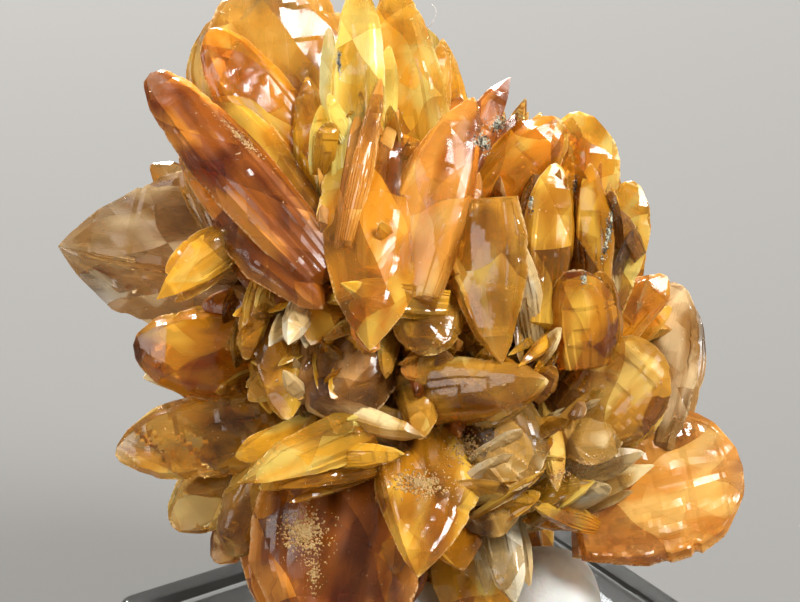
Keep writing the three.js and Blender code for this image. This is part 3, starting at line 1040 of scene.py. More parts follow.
SMALL_TONES = (
    Tone.AMBER, Tone.MAUVE, Tone.HONEY, Tone.ROUGH_GOLD, Tone.RED_BROWN, Tone.ROUGH_GOLD, Tone.ORANGE,
)


@dataclass(frozen=True)
class LeafHabit:
    """How the leaves beside a large blade differ from it: shares of its sizes, and degrees."""

    least: float = 9.0
    aside: Pair = (0.3, 0.55)
    behind: Pair = (0.45, 0.8)
    splay: Pair = (2, 9)
    length: Pair = (0.72, 0.9)
    wide: Pair = (0.55, 0.8)
    thick: Pair = (0.3, 0.5)
    roll: Pair = (-14, 14)
    widest: Pair = (0.35, 0.6)
    blunt: Pair = (1.1, 1.8)
    table: float = 0.8


@dataclass
class Cluster:
    """The ball of blades: those of the front, the heart, the far side, and the small ones between."""

    eye: Eye
    heart: Point = (1.0, -3.0, -6.0)
    heart_blades: int = 11
    heart_reach: float = 20.0
    heart_half_width: float = 10.5
    heart_thick: float = 12.0
    back_blades: int = 30
    back_reach: float = 27.0
    back_half_width: float = 6.4
    back_thick: float = 4.6
    small_blades: int = 130
    small_reach: Pair = (19.0, 25.0)
    small_length: Pair = (6.0, 10.0)
    small_half_width: Pair = (1.0, 2.6)
    leaf: LeafHabit = LeafHabit()
    thin_most: float = 3.0
    made: list[bpy.types.Object] = field(default_factory=list)
    finishes: dict[tuple[Tone, bool], bpy.types.Material] = field(default_factory=dict)

    def _finish(self, tone: Tone, thin: bool) -> bpy.types.Material:
        """The material of a tone, built when it is first asked for.

        Args:
            tone: The tone.
            thin: Whether it is for thin plates.

        Returns:
            The material.
        """
        if (tone, thin) not in self.finishes:
            self.finishes[tone, thin] = tone.value.material(thin)
        return self.finishes[tone, thin]

    def _spread(self, count: int, first: float, last: float) -> Iterator[Vector]:
        """Directions spread evenly over part of a ball.

        Args:
            count: How many.
            first: The first one's height towards the eye, from -1 to 1.
            last: The last one's height.

        Yields:
            Unit directions.
        """
        for i in range(count):
            height = first + (last - first) * (i + 0.5) / count
            ring = math.sqrt(1 - height * height)
            turn = math.radians(GOLDEN_ANGLE * i)
            flat = self.eye.across * math.cos(turn) + self.eye.upwards * math.sin(turn)
            yield flat * ring + self.eye.nearer * height

    @staticmethod
    def _scatter(seed: float) -> float:
        """A number from 0 to 1 that looks random and is the same on each run."""
        x = math.sin(seed * 12.9898) * 43758.5453
        return x - math.floor(x)

    def _heart(self) -> Iterator[Blade]:
        """The fat blades that cross at the heart."""
        middle = self.eye.point(self.heart)
        for i, direction in enumerate(self._spread(self.heart_blades, 0.95, -0.95)):
            reach = self.heart_reach
            yield Blade(
                f"heart_blade_{i + 1}", middle - direction * reach * 0.6,
                middle + direction * reach * (0.9 + 0.2 * self._scatter(i)),
                self.heart_half_width, self.heart_half_width, self.heart_thick, Tone.HEART,
                roll=360 * self._scatter(i + 20), blunt=1.6,
            )

    def _back(self) -> Iterator[Blade]:
        """The blades of the far side, which radiate from the heart."""
        middle = self.eye.point(self.heart)
        for i, direction in enumerate(self._spread(self.back_blades, 0.05, -0.98)):
            reach = self.back_reach * (0.86 + 0.26 * self._scatter(i + 40))
            wide = self.back_half_width * (0.75 + 0.6 * self._scatter(i + 60))
            yield Blade(
                f"far_blade_{i + 1}", middle + direction * reach * 0.3, middle + direction * reach,
                wide * (0.8 + 0.4 * self._scatter(i + 80)), wide,
                self.back_thick * (0.8 + 0.5 * self._scatter(i + 100)), FAR_TONES[i % len(FAR_TONES)],
                roll=360 * self._scatter(i + 120), blunt=1 + self._scatter(i + 140),
            )

    def _small(self) -> Iterator[Blade]:
        """The small blades that fill the gaps between the large ones."""
        middle = self.eye.point(self.heart)
        luck = random.Random("small blades")
        for i, direction in enumerate(self._spread(self.small_blades, 0.99, -0.99)):
            lean = Vector([luck.gauss(0, 0.3) for _ in range(3)])
            tip = middle + direction * luck.uniform(*self.small_reach)
            root = tip - (direction + lean).normalized() * luck.uniform(*self.small_length)
            wide = luck.uniform(*self.small_half_width)
            right, thick = wide * luck.uniform(0.7, 1.2), wide * luck.uniform(0.8, 1.3)
            tone = SMALL_TONES[luck.randrange(len(SMALL_TONES))]
            yield Blade(
                f"small_blade_{i + 1}", root, tip, wide, right, thick, tone,
                roll=luck.uniform(0, 360), blunt=luck.uniform(1.0, 1.9),
            )

    def _front(self) -> Iterator[Blade]:
        """The blades whose place shows from the front."""
        for name, root, tip, (left, right), thick, tone, rest in FRONT_BLADES:
            yield Blade(name, self.eye.point(root), self.eye.point(tip), left, right, thick, tone, **rest)

    def _leaves(self) -> Iterator[Blade]:
        """Thin leaves that have grown parallel to the blades of the front, a little behind them."""
        habit = self.leaf
        for blade in self._front():
            if (blade.tip_at - blade.root_at).length < habit.least:
                continue
            luck = random.Random(blade.name + " leaf")
            axis = (blade.tip_at - blade.root_at).normalized()
            face = (self.eye.nearer - axis * self.eye.nearer.dot(axis)).normalized()
            side = axis.cross(face)
            for number, sense in enumerate((1, -1)):
                half = blade.right if sense > 0 else blade.left
                aside = side * (sense * half * luck.uniform(*habit.aside))
                behind = face * (-blade.thick * luck.uniform(*habit.behind))
                turn = Matrix.Rotation(math.radians(-sense * luck.uniform(*habit.splay)), 3, face)
                run = turn @ (blade.tip_at - blade.root_at) * luck.uniform(*habit.length)
                root = blade.root_at + aside + behind
                wide = half * luck.uniform(*habit.wide)
                thick = blade.thick * luck.uniform(*habit.thick)
                yield Blade(
                    f"{blade.name}_leaf_{number + 1}", root, root + run, wide, wide, thick, blade.tone,
                    roll=blade.roll + luck.uniform(*habit.roll), widest=luck.uniform(*habit.widest),
                    blunt=luck.uniform(*habit.blunt), table=habit.table,
                )

    def _groups(self) -> dict[str, list[Blade]]:
        """The blades that are made as one mesh, under that mesh's name.

        Returns:
            Each large front blade with its leaves, and the others by where they are and by their tone.
        """
        groups: dict[str, list[Blade]] = {blade.name: [blade] for blade in self._front()}
        for blade in self._leaves():
            groups[blade.name.split("_leaf_")[0]].append(blade)
        crowds = (("heart", self._heart()), ("far_blades", self._back()), ("small_blades", self._small()))
        crowds += tuple((thicket.name + "s", thicket.blades(self.eye)) for thicket in THICKETS)
        for name, blades in crowds:
            for blade in blades:
                groups.setdefault(f"{name}_{blade.tone.name.lower()}", []).append(blade)
        return groups

    def build(self) -> None:
        """Builds, joins, dresses and rides every blade."""
        fine = BladeMaker(self.eye)
        plain = BladeMaker(self.eye, rows=22, table_cells=8, bevel_cells=3)
        for name, blades in self._groups().items():
            pieces = [(fine if blade.name == name else plain).build(blade) for blade in blades]
            piece = self._joined(name, pieces)
            large = blades[0].name == name and blades[0].thick > self.thin_most
            piece.data.materials.append(self._finish(blades[0].tone, not large))
            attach(piece, "root")
            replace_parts(piece, CLUSTER_NODE)
            self.made.append(piece)
            LOG.info("%s: %d blades, %d faces", piece.name, len(blades), len(piece.data.polygons))

    @staticmethod
    def _joined(name: str, pieces: list[bpy.types.Object]) -> bpy.types.Object:
        """Joins blades into one object.

        Args:
            name: The object's name.
            pieces: The blades; the first one's axes are kept.

        Returns:
            The joined object.
        """
        first = pieces[0]
        if len(pieces) > 1:
            chosen = {"active_object": first, "object": first, "selected_editable_objects": pieces}
            with bpy.context.temp_override(**chosen):
                bpy.ops.object.join()
        first.name = name
        first.data.name = name
        return first


# Each front blade: name, root and tip as the eye sees them, half widths left and right, thickness, tone,
# and the rest
FRONT_BLADES: tuple[tuple[str, Point, Point, Pair, float, Tone, dict[str, Any]], ...] = (
    ("crown_dome", (-9.5, 12.5, 0), (-12.8, 32.6, -4), (8.9, 7.4), 6, Tone.HONEY,
     {"roll": -8, "widest": 0.52, "blunt": 2}),
    ("crown_flank", (-7.6, 12, 3), (-19, 27.2, 0.5), (4.4, 3.4), 4.5, Tone.ORANGE,
     {"roll": -14, "widest": 0.5, "blunt": 1.9}),
    ("crown_sheet", (-4.8, 5, 10), (-4.2, 31.8, 5), (2.6, 3.1), 5, Tone.SUNLIT,
     {"roll": 18, "widest": 0.6, "blunt": 1.8}),
    ("crown_shoulder", (2, 6, 4), (-0.8, 31.5, 0), (4.6, 4.5), 6, Tone.YELLOW,
     {"roll": 12, "widest": 0.4, "blunt": 1.8}),
    ("crown_veil", (-5.6, 5.5, 14.5), (-1.9, 22.3, 9), (1.1, 1.3), 2, Tone.PEACH, {"roll": 10, "blunt": 1.6}),
    ("crown_rear", (-0.5, 12, -10), (1.5, 27.8, -15), (5.5, 5.4), 3, Tone.OLIVE, {"blunt": 2}),
    ("crown_side", (1.5, 10, 4), (4.2, 25.7, 0.5), (2, 2.2), 3, Tone.HONEY,
     {"roll": 20, "widest": 0.5, "blunt": 1.6}),
    ("crown_wedge", (-7.2, 6.5, 6), (-9.3, 22.5, 2.5), (3, 2.8), 5, Tone.YELLOW, {"roll": 22}),
    ("crown_chip", (-7.9, 12.6, 8), (-7, 17.9, 10.5), (1.2, 1.3), 2.4, Tone.YELLOW,
     {"roll": -20, "widest": 0.7, "blunt": 2}),
    ("centre_bill", (-1, 16.4, 6), (-3, -5, 18), (5.5, 6.4), 8, Tone.ORANGE,
     {"widest": 0.38, "blunt": 1.05, "table": 0.3}),
    ("right_bill", (1.4, -0.6, 14), (7.4, 20.4, 9), (5, 2.9), 6, Tone.PEACH,
     {"roll": 8, "widest": 0.45, "blunt": 1.35, "table": 0.72}),
    ("right_bill_twin", (4, 8.1, 8), (11.1, 22.4, 4), (3.4, 1.5), 4, Tone.RED_BROWN,
     {"roll": -12, "blunt": 1.1}),
    ("brown_bill", (5.5, 7, 3), (16.2, 18.1, 5), (3.3, 3.7), 6, Tone.ORANGE,
     {"widest": 0.6, "blunt": 1.8, "table": 0.5}),
    ("brown_chip", (9.5, 11.5, 2), (12.6, 20.3, 2), (1.4, 1.2), 2.6, Tone.HONEY, {"roll": 20}),
    ("brown_stub", (12, 13, 1.5), (14.1, 18.9, 1), (1.2, 1.2), 2.4, Tone.AMBER, {"roll": -15}),
    ("golden_bill", (9.7, 10.4, 11), (10.2, -6.3, 14), (2.9, 5.6), 6, Tone.HONEY,
     {"roll": -10, "widest": 0.32, "blunt": 1.05, "table": 0.7}),
    ("pale_slip", (13.2, -4.4, 9), (11.6, 6.6, 12), (1.8, 1.8), 4, Tone.PALE, {"roll": 15, "blunt": 1.5}),
    ("centre_shelf", (5, 0.3, 13), (-6, 1.8, 17), (2.6, 1), 2.6, Tone.YELLOW, {"widest": 0.45, "blunt": 1}),
    ("centre_foot", (2.8, 1.4, 10), (2.7, -5.5, 14), (3.6, 3.6), 5, Tone.HONEY, {"blunt": 2}),
    ("yellow_crescent", (15, -3, -2), (17.9, 19, 1), (3.2, 5.4), 7, Tone.YELLOW,
     {"roll": 25, "widest": 0.74, "blunt": 1.9, "table": 0.4}),
    ("column_left", (12.4, 0, 5), (13.6, 12.9, 6), (2, 2.2), 4, Tone.HONEY, {"roll": -30, "blunt": 1.6}),
    ("column_brown", (13.8, -3.2, 9), (15.6, 13.8, 8), (2.7, 2.7), 5, Tone.AMBER,
     {"roll": -16, "widest": 0.6, "blunt": 1.7}),
    ("column_middle", (17.2, -1, 5), (17.8, 12.4, 5), (2.2, 2.3), 4, Tone.AMBER, {"roll": 30, "blunt": 1.6}),
    ("column_right", (19.3, -0.4, 6), (19, 13.8, 7), (2.1, 2.3), 5, Tone.AMBER, {"roll": 12, "blunt": 1.4}),
    ("column_gold", (17.5, -6, -1), (23.4, 12, 3), (3, 3.6), 5, Tone.YELLOW,
     {"roll": 24, "widest": 0.66, "blunt": 1.8}),
    ("amber_block", (18.2, -6.7, 8), (17.4, 3.2, 11), (3.2, 3.9), 6, Tone.AMBER,
     {"widest": 0.5, "blunt": 1.8, "table": 0.55}),
    ("yellow_splint", (17.5, -1.5, 6), (11.8, -6.6, 15), (0.8, 0.8), 1.8, Tone.YELLOW, {}),
    ("orange_tab", (19, -6, -1), (26.7, 2.5, 0), (2.5, 2.2), 3, Tone.ORANGE, {"widest": 0.7, "blunt": 1.5}),
    ("right_disc", (17.9, -13, 4), (25.6, -4.5, 6), (4.8, 5.2), 5, Tone.HONEY,
     {"roll": 8, "widest": 0.5, "blunt": 2, "table": 0.75, "ridges": Ridges(RidgeWay.FANNED, 14, 0.2)}),
    ("smoky_disc", (24.5, -15, -3), (27.4, 1.9, -6), (4.6, 4), 4, Tone.SMOKY,
     {"roll": 15, "widest": 0.5, "blunt": 2, "table": 0.75}),
    ("great_disc", (17, -20.5, -2), (34.3, -16.6, -4), (7.9, 8), 4.5, Tone.PEACH,
     {"widest": 0.55, "blunt": 2, "table": 0.8, "ridges": Ridges(RidgeWay.FANNED, 9, 0.3)}),
    ("red_blade", (-7, 2.2, 13), (-25, 22.8, 3), (3.6, 3.6), 5, Tone.RED_BROWN,
     {"roll": -15, "widest": 0.5, "blunt": 2.5, "table": 0.62}),
    ("red_blade_back", (-7.9, 3.9, 10), (-18.5, 20.6, 2), (2, 3.7), 4, Tone.AMBER,
     {"roll": 5, "widest": 0.45, "blunt": 1.4}),
    ("red_blade_side", (-16.5, 5, 5), (-21.8, 16.4, 2.5), (1.9, 2.6), 3, Tone.HONEY, {"blunt": 1.5}),
    ("red_blade_twin", (-16.9, 9.5, 6), (-7.7, -0.8, 14), (3.2, 3.6), 5, Tone.RED_BROWN,
     {"roll": 10, "blunt": 1.3, "table": 0.55}),
    ("left_wing", (-12, 1.4, 0), (-34.2, 5.5, -3), (6.9, 9), 6, Tone.SMOKY,
     {"roll": 4, "widest": 0.45, "blunt": 1.05, "table": 0.12,
      "ridges": Ridges(RidgeWay.ALONG, 0.09, 0.3, half=-1)}),
    ("left_veil", (-14.5, 6, -6), (-25, 13.6, -8), (2.6, 3), 3, Tone.AMBER, {"widest": 0.5, "blunt": 1.4}),
    ("amber_fin", (-15.4, 6, 7), (-24.4, 0.1, 9), (1.6, 3), 3, Tone.YELLOW,
     {"roll": 15, "widest": 0.35, "blunt": 0.85}),
    ("amber_cheek", (-8.5, -5.5, 2), (-26.7, -4.4, 5), (5.1, 4.2), 7, Tone.AMBER,
     {"roll": -5, "widest": 0.55, "blunt": 2, "foot": 0.85}),
    ("shaded_plate", (-10, 0, 6), (-19.8, -0.6, 4), (1.6, 2.2), 3, Tone.RED_BROWN, {"blunt": 1.8}),
    ("ribbed_fan", (-5, -11, 2), (-28.5, -15.4, 3), (4.6, 5.2), 6, Tone.HONEY,
     {"widest": 0.5, "blunt": 1.6, "table": 0.75, "ridges": Ridges(RidgeWay.SLANTED, 3, 0.6, slant=-54)}),
    ("olive_lens", (-9.5, -12, -2), (-22.8, -22.6, -1), (3.2, 3.6), 4, Tone.HONEY,
     {"widest": 0.7, "blunt": 1.8}),
    ("orange_lens", (-11, -13, 2), (-17, -25.5, 3), (3.2, 3.3), 4, Tone.HONEY, {"widest": 0.6, "blunt": 1.8}),
    ("smoky_lens", (-8.5, -15, -5), (-18.6, -26.1, -6), (2.8, 3), 4, Tone.AMBER,
     {"widest": 0.6, "blunt": 1.8}),
    ("mauve_face", (-4, 2.2, 4), (-6.3, -11.8, 13), (5.4, 5.4), 7, Tone.MAUVE,
     {"widest": 0.62, "blunt": 2, "table": 0.7}),
    ("small_leaf", (-1, -1.5, 8), (-1.4, -7.8, 13.5), (1.3, 1.2), 2.6, Tone.HONEY, {}),
    ("amber_wedge", (-12.7, 1.2, 5), (-11.2, -11.9, 12), (3.2, 3), 6, Tone.AMBER,
     {"roll": -15, "blunt": 1.7}),
    ("amber_drop", (-13.5, 2.5, 8), (-15.4, -5.9, 10), (1.4, 1.6), 3.4, Tone.AMBER, {"blunt": 2}),
    ("pale_tooth", (-9, 1.8, 6), (-11.2, -4.4, 16.5), (1.4, 1.4), 3, Tone.PALE, {"widest": 0.6, "blunt": 1}),
    ("white_tooth", (-8.5, -11.8, 7), (-11.7, -6.9, 15), (1.2, 1.2), 2.6, Tone.PALE, {}),
    ("ledge", (-9.5, -9.8, 10), (2.5, -13.6, 14), (1.2, 1.5), 4, Tone.ROUGH_GOLD, {"roll": 30}),
    ("yellow_bill", (-2.5, -13, 11), (-16.3, -18.2, 15), (2.2, 3.5), 5, Tone.YELLOW,
     {"roll": 20, "widest": 0.35, "blunt": 0.8}),
    ("yellow_bill_lip", (-1.5, -16.4, 9), (-12.3, -18.7, 14), (1.1, 1.1), 3, Tone.AMBER, {}),
    ("yellow_point", (-7, -15.6, 11), (0.5, -15.3, 15), (1.3, 1.3), 3, Tone.YELLOW, {"roll": -10}),
    ("clear_bill", (-0.5, -9.4, 8), (14.9, -8, 15), (3.4, 3.8), 6, Tone.HONEY,
     {"roll": -16, "widest": 0.45, "blunt": 1.25}),
    ("clear_stub", (1.5, -5.4, 6), (2, -13.9, 13), (2.4, 2.4), 5, Tone.HONEY, {"blunt": 1.5}),
    ("rough_face", (7.5, -7.5, 3), (12, -18.9, 11), (4.6, 5.2), 7, Tone.ROUGH_GOLD,
     {"widest": 0.6, "blunt": 1.8, "table": 0.5, "ridges": Ridges(RidgeWay.SLANTED, 1.3, 0.35, slant=30)}),
    ("rough_scale", (5.7, -13.7, 3.2), (10, -23.6, 9), (3.8, 3.6), 5, Tone.ROUGH_GOLD,
     {"roll": 15, "widest": 0.6, "blunt": 1.7, "ridges": Ridges(RidgeWay.FANNED, 11, 0.3)}),
    ("long_scale", (6.5, -21.5, 4), (24.5, -15.2, 5), (3.2, 1.6), 4, Tone.PALE,
     {"roll": -26, "widest": 0.5, "blunt": 1.4}),
    ("lower_scale", (9, -22.5, 0), (25.5, -16.4, 2), (2.2, 2), 4, Tone.ROUGH_GOLD, {"roll": -20}),
    ("orange_chip", (19.5, -22.5, 0), (13.4, -20.5, 9), (1.3, 1.3), 3, Tone.ORANGE, {}),
    ("gold_splint", (14.6, -7.5, 1), (15.7, -19.1, 10), (1.4, 1.4), 3, Tone.HONEY,
     {"roll": 25, "widest": 0.6}),
    ("gold_scale", (18.6, -9.8, 2), (19.3, -16.4, 8), (3.2, 3.2), 5, Tone.ROUGH_GOLD,
     {"widest": 0.6, "blunt": 2, "ridges": Ridges(RidgeWay.SLANTED, 1.1, 0.14, slant=65)}),
    ("front_slab", (-4.5, -11.5, 3), (-7, -36.2, 9), (8.5, 9.2), 9, Tone.RED_BROWN,
     {"widest": 0.52, "blunt": 1.6}),
    ("orange_triangle", (0.8, -13, 7), (1.8, -27.7, 14.5), (6.9, 3.7), 6, Tone.AMBER,
     {"roll": -3, "widest": 0.32, "blunt": 1}),
    ("gold_keel", (6, -16, -3), (9, -35, -1), (4.8, 5), 8, Tone.YELLOW,
     {"roll": 20, "widest": 0.55, "blunt": 1.6}),
    ("pale_keel", (9, -18, 1), (11.5, -30.2, 7.5), (2.2, 2.2), 4, Tone.PALE, {"roll": -20, "widest": 0.6}),
    ("left_foot", (-2, -12, -6), (-6, -38, -12), (6, 6), 9, Tone.AMBER, {"widest": 0.5, "blunt": 1.9}),
    ("right_foot", (7, -10, -10), (12, -36, -19), (5.5, 5.5), 8, Tone.AMBER,
     {"roll": 25, "widest": 0.5, "blunt": 1.9}),
)


class Piece:
    """What every piece beside the crystals does once its shape is made."""

    @staticmethod
    def mesh(name: str, shell: bmesh.types.BMesh) -> bpy.types.Mesh:
        """Turns a finished shell into a mesh, and frees it.

        Args:
            name: The mesh's name.
            shell: The finished shell.

        Returns:
            The new mesh.
        """
        made = bpy.data.meshes.new(name)
        shell.to_mesh(made)
        shell.free()
        return made

    @staticmethod
    def shown(name: str, data: Any, finish: bpy.types.Material) -> bpy.types.Object:
        """Puts a mesh or a curve in the scene.

        Args:
            name: The piece's name.
            data: Its mesh or curve.
            finish: Its material.

        Returns:
            The new piece, which rides the part's one body.
        """
        piece = bpy.data.objects.new(name, data)
        bpy.context.collection.objects.link(piece)
        data.materials.append(finish)
        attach(piece, "root")
        LOG.info("%s: %s", piece.name, finish.name)
        return piece


@dataclass(frozen=True)
class CrustFinish:
    """Tiny grains of gypsum and dust, pale or dark from grain to grain."""

    name: str
    pale: Colour
    dark: Colour
    dark_share: float
    coarse_scale: float = 900.0
    fine_scale: float = 5200.0
    coarse_share: float = 0.6
    rough: Pair = (0.25, 0.6)

    def material(self) -> bpy.types.Material:
        """Builds the finish.

        Returns:
            The grains' material.
        """
        made = bpy.data.materials.new(self.name)
        bench = Bench(made)
        place = bench.place()
        coarse, fine = bench.noise(place, self.coarse_scale, 2.0), bench.noise(place, self.fine_scale, 1.0)
        edge = 0.3 + self.dark_share * 0.4
        mixed = coarse * self.coarse_share + fine * (1 - self.coarse_share)
        share = mixed.ranged(edge - 0.06, edge + 0.08)
        bench.finish(bench.body({
            "Base Color": bench.blend(share, self.dark, self.pale), "IOR": GYPSUM_IOR,
            "Roughness": fine.ranged(0.3, 0.7, *self.rough), "Normal": bench.bump(fine, 0.6, 0.0001),
            "Subsurface Weight": 0.3, "Subsurface Scale": 0.001,
        }))
        return made


@dataclass(frozen=True)
class Crust(Piece):
    """A patch of tiny angular grains that has grown or caught on whatever the eye sees in an oval."""

    name: str
    oval: Oval
    grains: int
    size: Pair

    def build(self, eye: Eye, surface: BVHTree, finish: bpy.types.Material) -> None:
        """Makes, dresses and rides the patch.

        Args:
            eye: Where the oval is seen from.
            surface: The crystals' surfaces.
            finish: The grains' material.
        """
        luck = random.Random(self.name)
        shell = bmesh.new()
        start = eye.point((0, 0, eye.distance)) * MM
        for _ in range(self.grains):
            reach = min(abs(luck.gauss(0, 0.5)), 1.2)
            seen, _ = self.oval.point(reach, luck.uniform(0, math.tau))
            towards = (eye.point((*seen, 0)) * MM - start).normalized()
            hit = surface.ray_cast(start, towards)[0]
            if hit is not None:
                self._grain(shell, hit, luck, luck.uniform(*self.size) * (1.15 - 0.5 * reach) * MM)
        self.shown(self.name, self.mesh(self.name, shell), finish)

    @staticmethod
    def _grain(shell: bmesh.types.BMesh, where: Vector, luck: random.Random, size: float) -> None:
        """Adds one angular grain.

        Args:
            shell: The patch's mesh.
            where: The grain's place.
            luck: The source of its shape.
            size: Its half size, in metres.
        """
        spin = Euler([luck.uniform(0, math.tau) for _ in range(3)]).to_matrix()
        shape = Vector((1.0, luck.uniform(0.5, 0.9), luck.uniform(0.35, 0.7)))
        for vertex in bmesh.ops.create_icosphere(shell, subdivisions=1, radius=1.0)["verts"]:
            jitter = 1 + luck.uniform(-0.22, 0.22)
            vertex.co = where + spin @ (vertex.co * shape * jitter) * size


PALE_CRUST = CrustFinish("pale_crust", (0.56, 0.31, 0.115, 1), (0.34, 0.15, 0.035, 1), 0.35)
CRACKED_CRUST = CrustFinish("cracked_crust", (0.7, 0.62, 0.46, 1), (0.05, 0.035, 0.02, 1), 0.5)


@dataclass(frozen=True)
class Crusts:
    """All the patches: pale sparkling ones on faces, and cracked white and black ones in the gaps."""

    pale: tuple[Crust, ...] = (
        Crust("slab_crust", Oval((-9.6, -23.2), (3.2, 3.0), 20), 700, (0.08, 0.26)),
        Crust("slab_crust_tail", Oval((-8.6, -27.2), (1.1, 3.0)), 160, (0.05, 0.18)),
        Crust("triangle_crust", Oval((2.0, -18.2), (4.4, 1.8), -8), 560, (0.08, 0.26)),
        Crust("red_blade_crust", Oval((-15.8, 16.2), (4.6, 0.5), -43), 260, (0.05, 0.16)),
        Crust("rough_face_crust", Oval((6.5, -14.6), (3.6, 2.4), 25), 300, (0.06, 0.22)),
        Crust("scale_crust", Oval((17.0, -17.0), (5.0, 1.4), 22), 300, (0.06, 0.2)),
    )
    cracked: tuple[Crust, ...] = (
        Crust("bill_gap_crust", Oval((8.2, 15.9), (1.1, 1.5), 20), 240, (0.06, 0.24)),
        Crust("chip_gap_crust", Oval((9.9, 17.6), (1.3, 1.2)), 220, (0.06, 0.22)),
        Crust("column_gap_crust", Oval((13.1, 9.8), (0.35, 1.8)), 120, (0.06, 0.2)),
        Crust("crescent_gap_crust", Oval((17.6, 11.6), (0.3, 1.6)), 100, (0.06, 0.2)),
        Crust("right_gap_crust", Oval((20.9, 7.0), (0.45, 4.6), -10), 260, (0.06, 0.22)),
        Crust("lower_gap_crust", Oval((18.4, 2.3), (0.45, 1.0)), 80, (0.06, 0.2)),
        Crust("crown_gap_crust", Oval((-6.1, 23.9), (0.35, 2.2), 4), 130, (0.05, 0.18)),
    )

    def build(self, eye: Eye, blades: list[bpy.types.Object]) -> None:
        """Builds every patch on the blades' surfaces.

        Args:
            eye: Where the patches are seen from.
            blades: The finished blades.
        """
        points: list[Vector] = []
        faces: list[tuple[int, ...]] = []
        for blade in blades:
            first = len(points)
            points += [blade.matrix_world @ vertex.co for vertex in blade.data.vertices]
            faces += [tuple(first + v for v in face.vertices) for face in blade.data.polygons]
        surface = BVHTree.FromPolygons(points, faces)
        pale, cracked = PALE_CRUST.material(), CRACKED_CRUST.material()
        for patches, finish in ((self.pale, pale), (self.cracked, cracked)):
            for patch in patches:
                patch.build(eye, surface, finish)


@dataclass(frozen=True)
class FibreFinish:
    """Grey textile fibre, a little mottled."""

    pale: Colour = (0.75, 0.73, 0.7, 1)
    dark: Colour = (0.45, 0.43, 0.4, 1)
    mottle_scale: float = 3000.0
    rough: float = 0.45

    def material(self) -> bpy.types.Material:
        """Builds the finish.

        Returns:
            The fibre's material.
        """
        made = bpy.data.materials.new("dust_fibre")
        bench = Bench(made)
        mottle = bench.noise(bench.place(), self.mottle_scale).ranged(0.35, 0.65)
        tone = bench.blend(mottle, self.dark, self.pale)
        bench.finish(bench.body({"Base Color": tone, "Roughness": self.rough}))
        return made


@dataclass(frozen=True)
class Fibre(Piece):
    """The curled dust fibre that has caught on the crown's right-hand rim."""

    name: str = "dust_fibre"
    path: tuple[Point, ...] = (
        (2.3, 27.0, 0.4), (2.7, 27.35, 0.7), (3.1, 27.6, 0.9), (3.45, 28.15, 1.1), (3.65, 28.8, 1.2),
        (3.6, 29.3, 1.1), (3.15, 29.7, 0.8),
    )
    radius: float = 0.035

    def build(self, eye: Eye, finish: bpy.types.Material) -> None:
        """Makes, dresses and rides the fibre.

        Args:
            eye: Where its path is seen from.
            finish: The fibre's material.
        """
        curve = bpy.data.curves.new(self.name, "CURVE")
        curve.dimensions = "3D"
        curve.bevel_depth = self.radius * MM
        curve.bevel_resolution = 2
        curve.use_fill_caps = True
        spline = curve.splines.new("NURBS")
        spline.points.add(len(self.path) - 1)
        for point, seen in zip(spline.points, self.path):
            point.co = (*(eye.point(seen) * MM), 1.0)
        spline.use_endpoint_u = True
        spline.order_u = 4
        self.shown(self.name, curve, finish)


# How the putty is pinched: depths as shares of the lump, waves and scales over a ball of radius 1
DENT_DEEP, DENT_ACROSS, DENT_ALONG, DENT_START = 0.07, 3.1, 2.7, 2
FOLD_DEEP, FOLD_WAVES = 0.05, 4.3
PRINT_DEEP, PRINT_SCALE = 0.02, 3.1
CREASE_DEEP, CREASE_SCALE, CREASE_SLICE = 0.035, 1.6, 3


@dataclass(frozen=True)
class TackLump(Piece):
    """A pinched lump of mineral tack, pressed flat on the block."""

    node: str
    x: float
    y: float
    half: Pair
    high: float
    pressed: float = 0.35
    level: float = 8.02

    def build(self, finish: bpy.types.Material) -> None:
        """Makes, dresses and rides the lump.

        Args:
            finish: The putty's material.
        """
        shell = bmesh.new()
        bmesh.ops.create_icosphere(shell, subdivisions=5, radius=1.0)
        half_high = self.high / (2 - self.pressed)
        for vertex in shell.verts:
            vertex.co = self._pinched(vertex.co.copy(), half_high) * MM
        mesh = self.mesh(self.node + "_putty", shell)
        mesh.shade_smooth()
        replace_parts(self.shown(self.node + "_putty", mesh, finish), self.node)

    def _pinched(self, p: Vector, half_high: float) -> Vector:
        """Where a point of a ball lies on the lump.

        Args:
            p: A point on a ball of radius 1.
            half_high: Half the lump's height before it is pressed flat.

        Returns:
            The point, in millimetres.
        """
        dent = 1 + DENT_DEEP * math.sin(DENT_ACROSS * p.x + DENT_START) * math.cos(DENT_ALONG * p.y + p.z)
        dent += FOLD_DEEP * math.sin(FOLD_WAVES * p.z + p.x)
        print_mark = PRINT_DEEP * noise.noise(p * PRINT_SCALE + Vector((self.x, self.y, 0)))
        crease = CREASE_DEEP * abs(noise.noise(p * CREASE_SCALE + Vector((self.y, self.x, CREASE_SLICE))))
        q = p * (dent + print_mark - crease)
        placed = Vector((q.x * self.half[0] + self.x, q.y * self.half[1] + self.y, q.z * half_high))
        placed.z += REST_LEVEL + self.high - half_high
        placed.z = max(placed.z, self.level)
        return placed


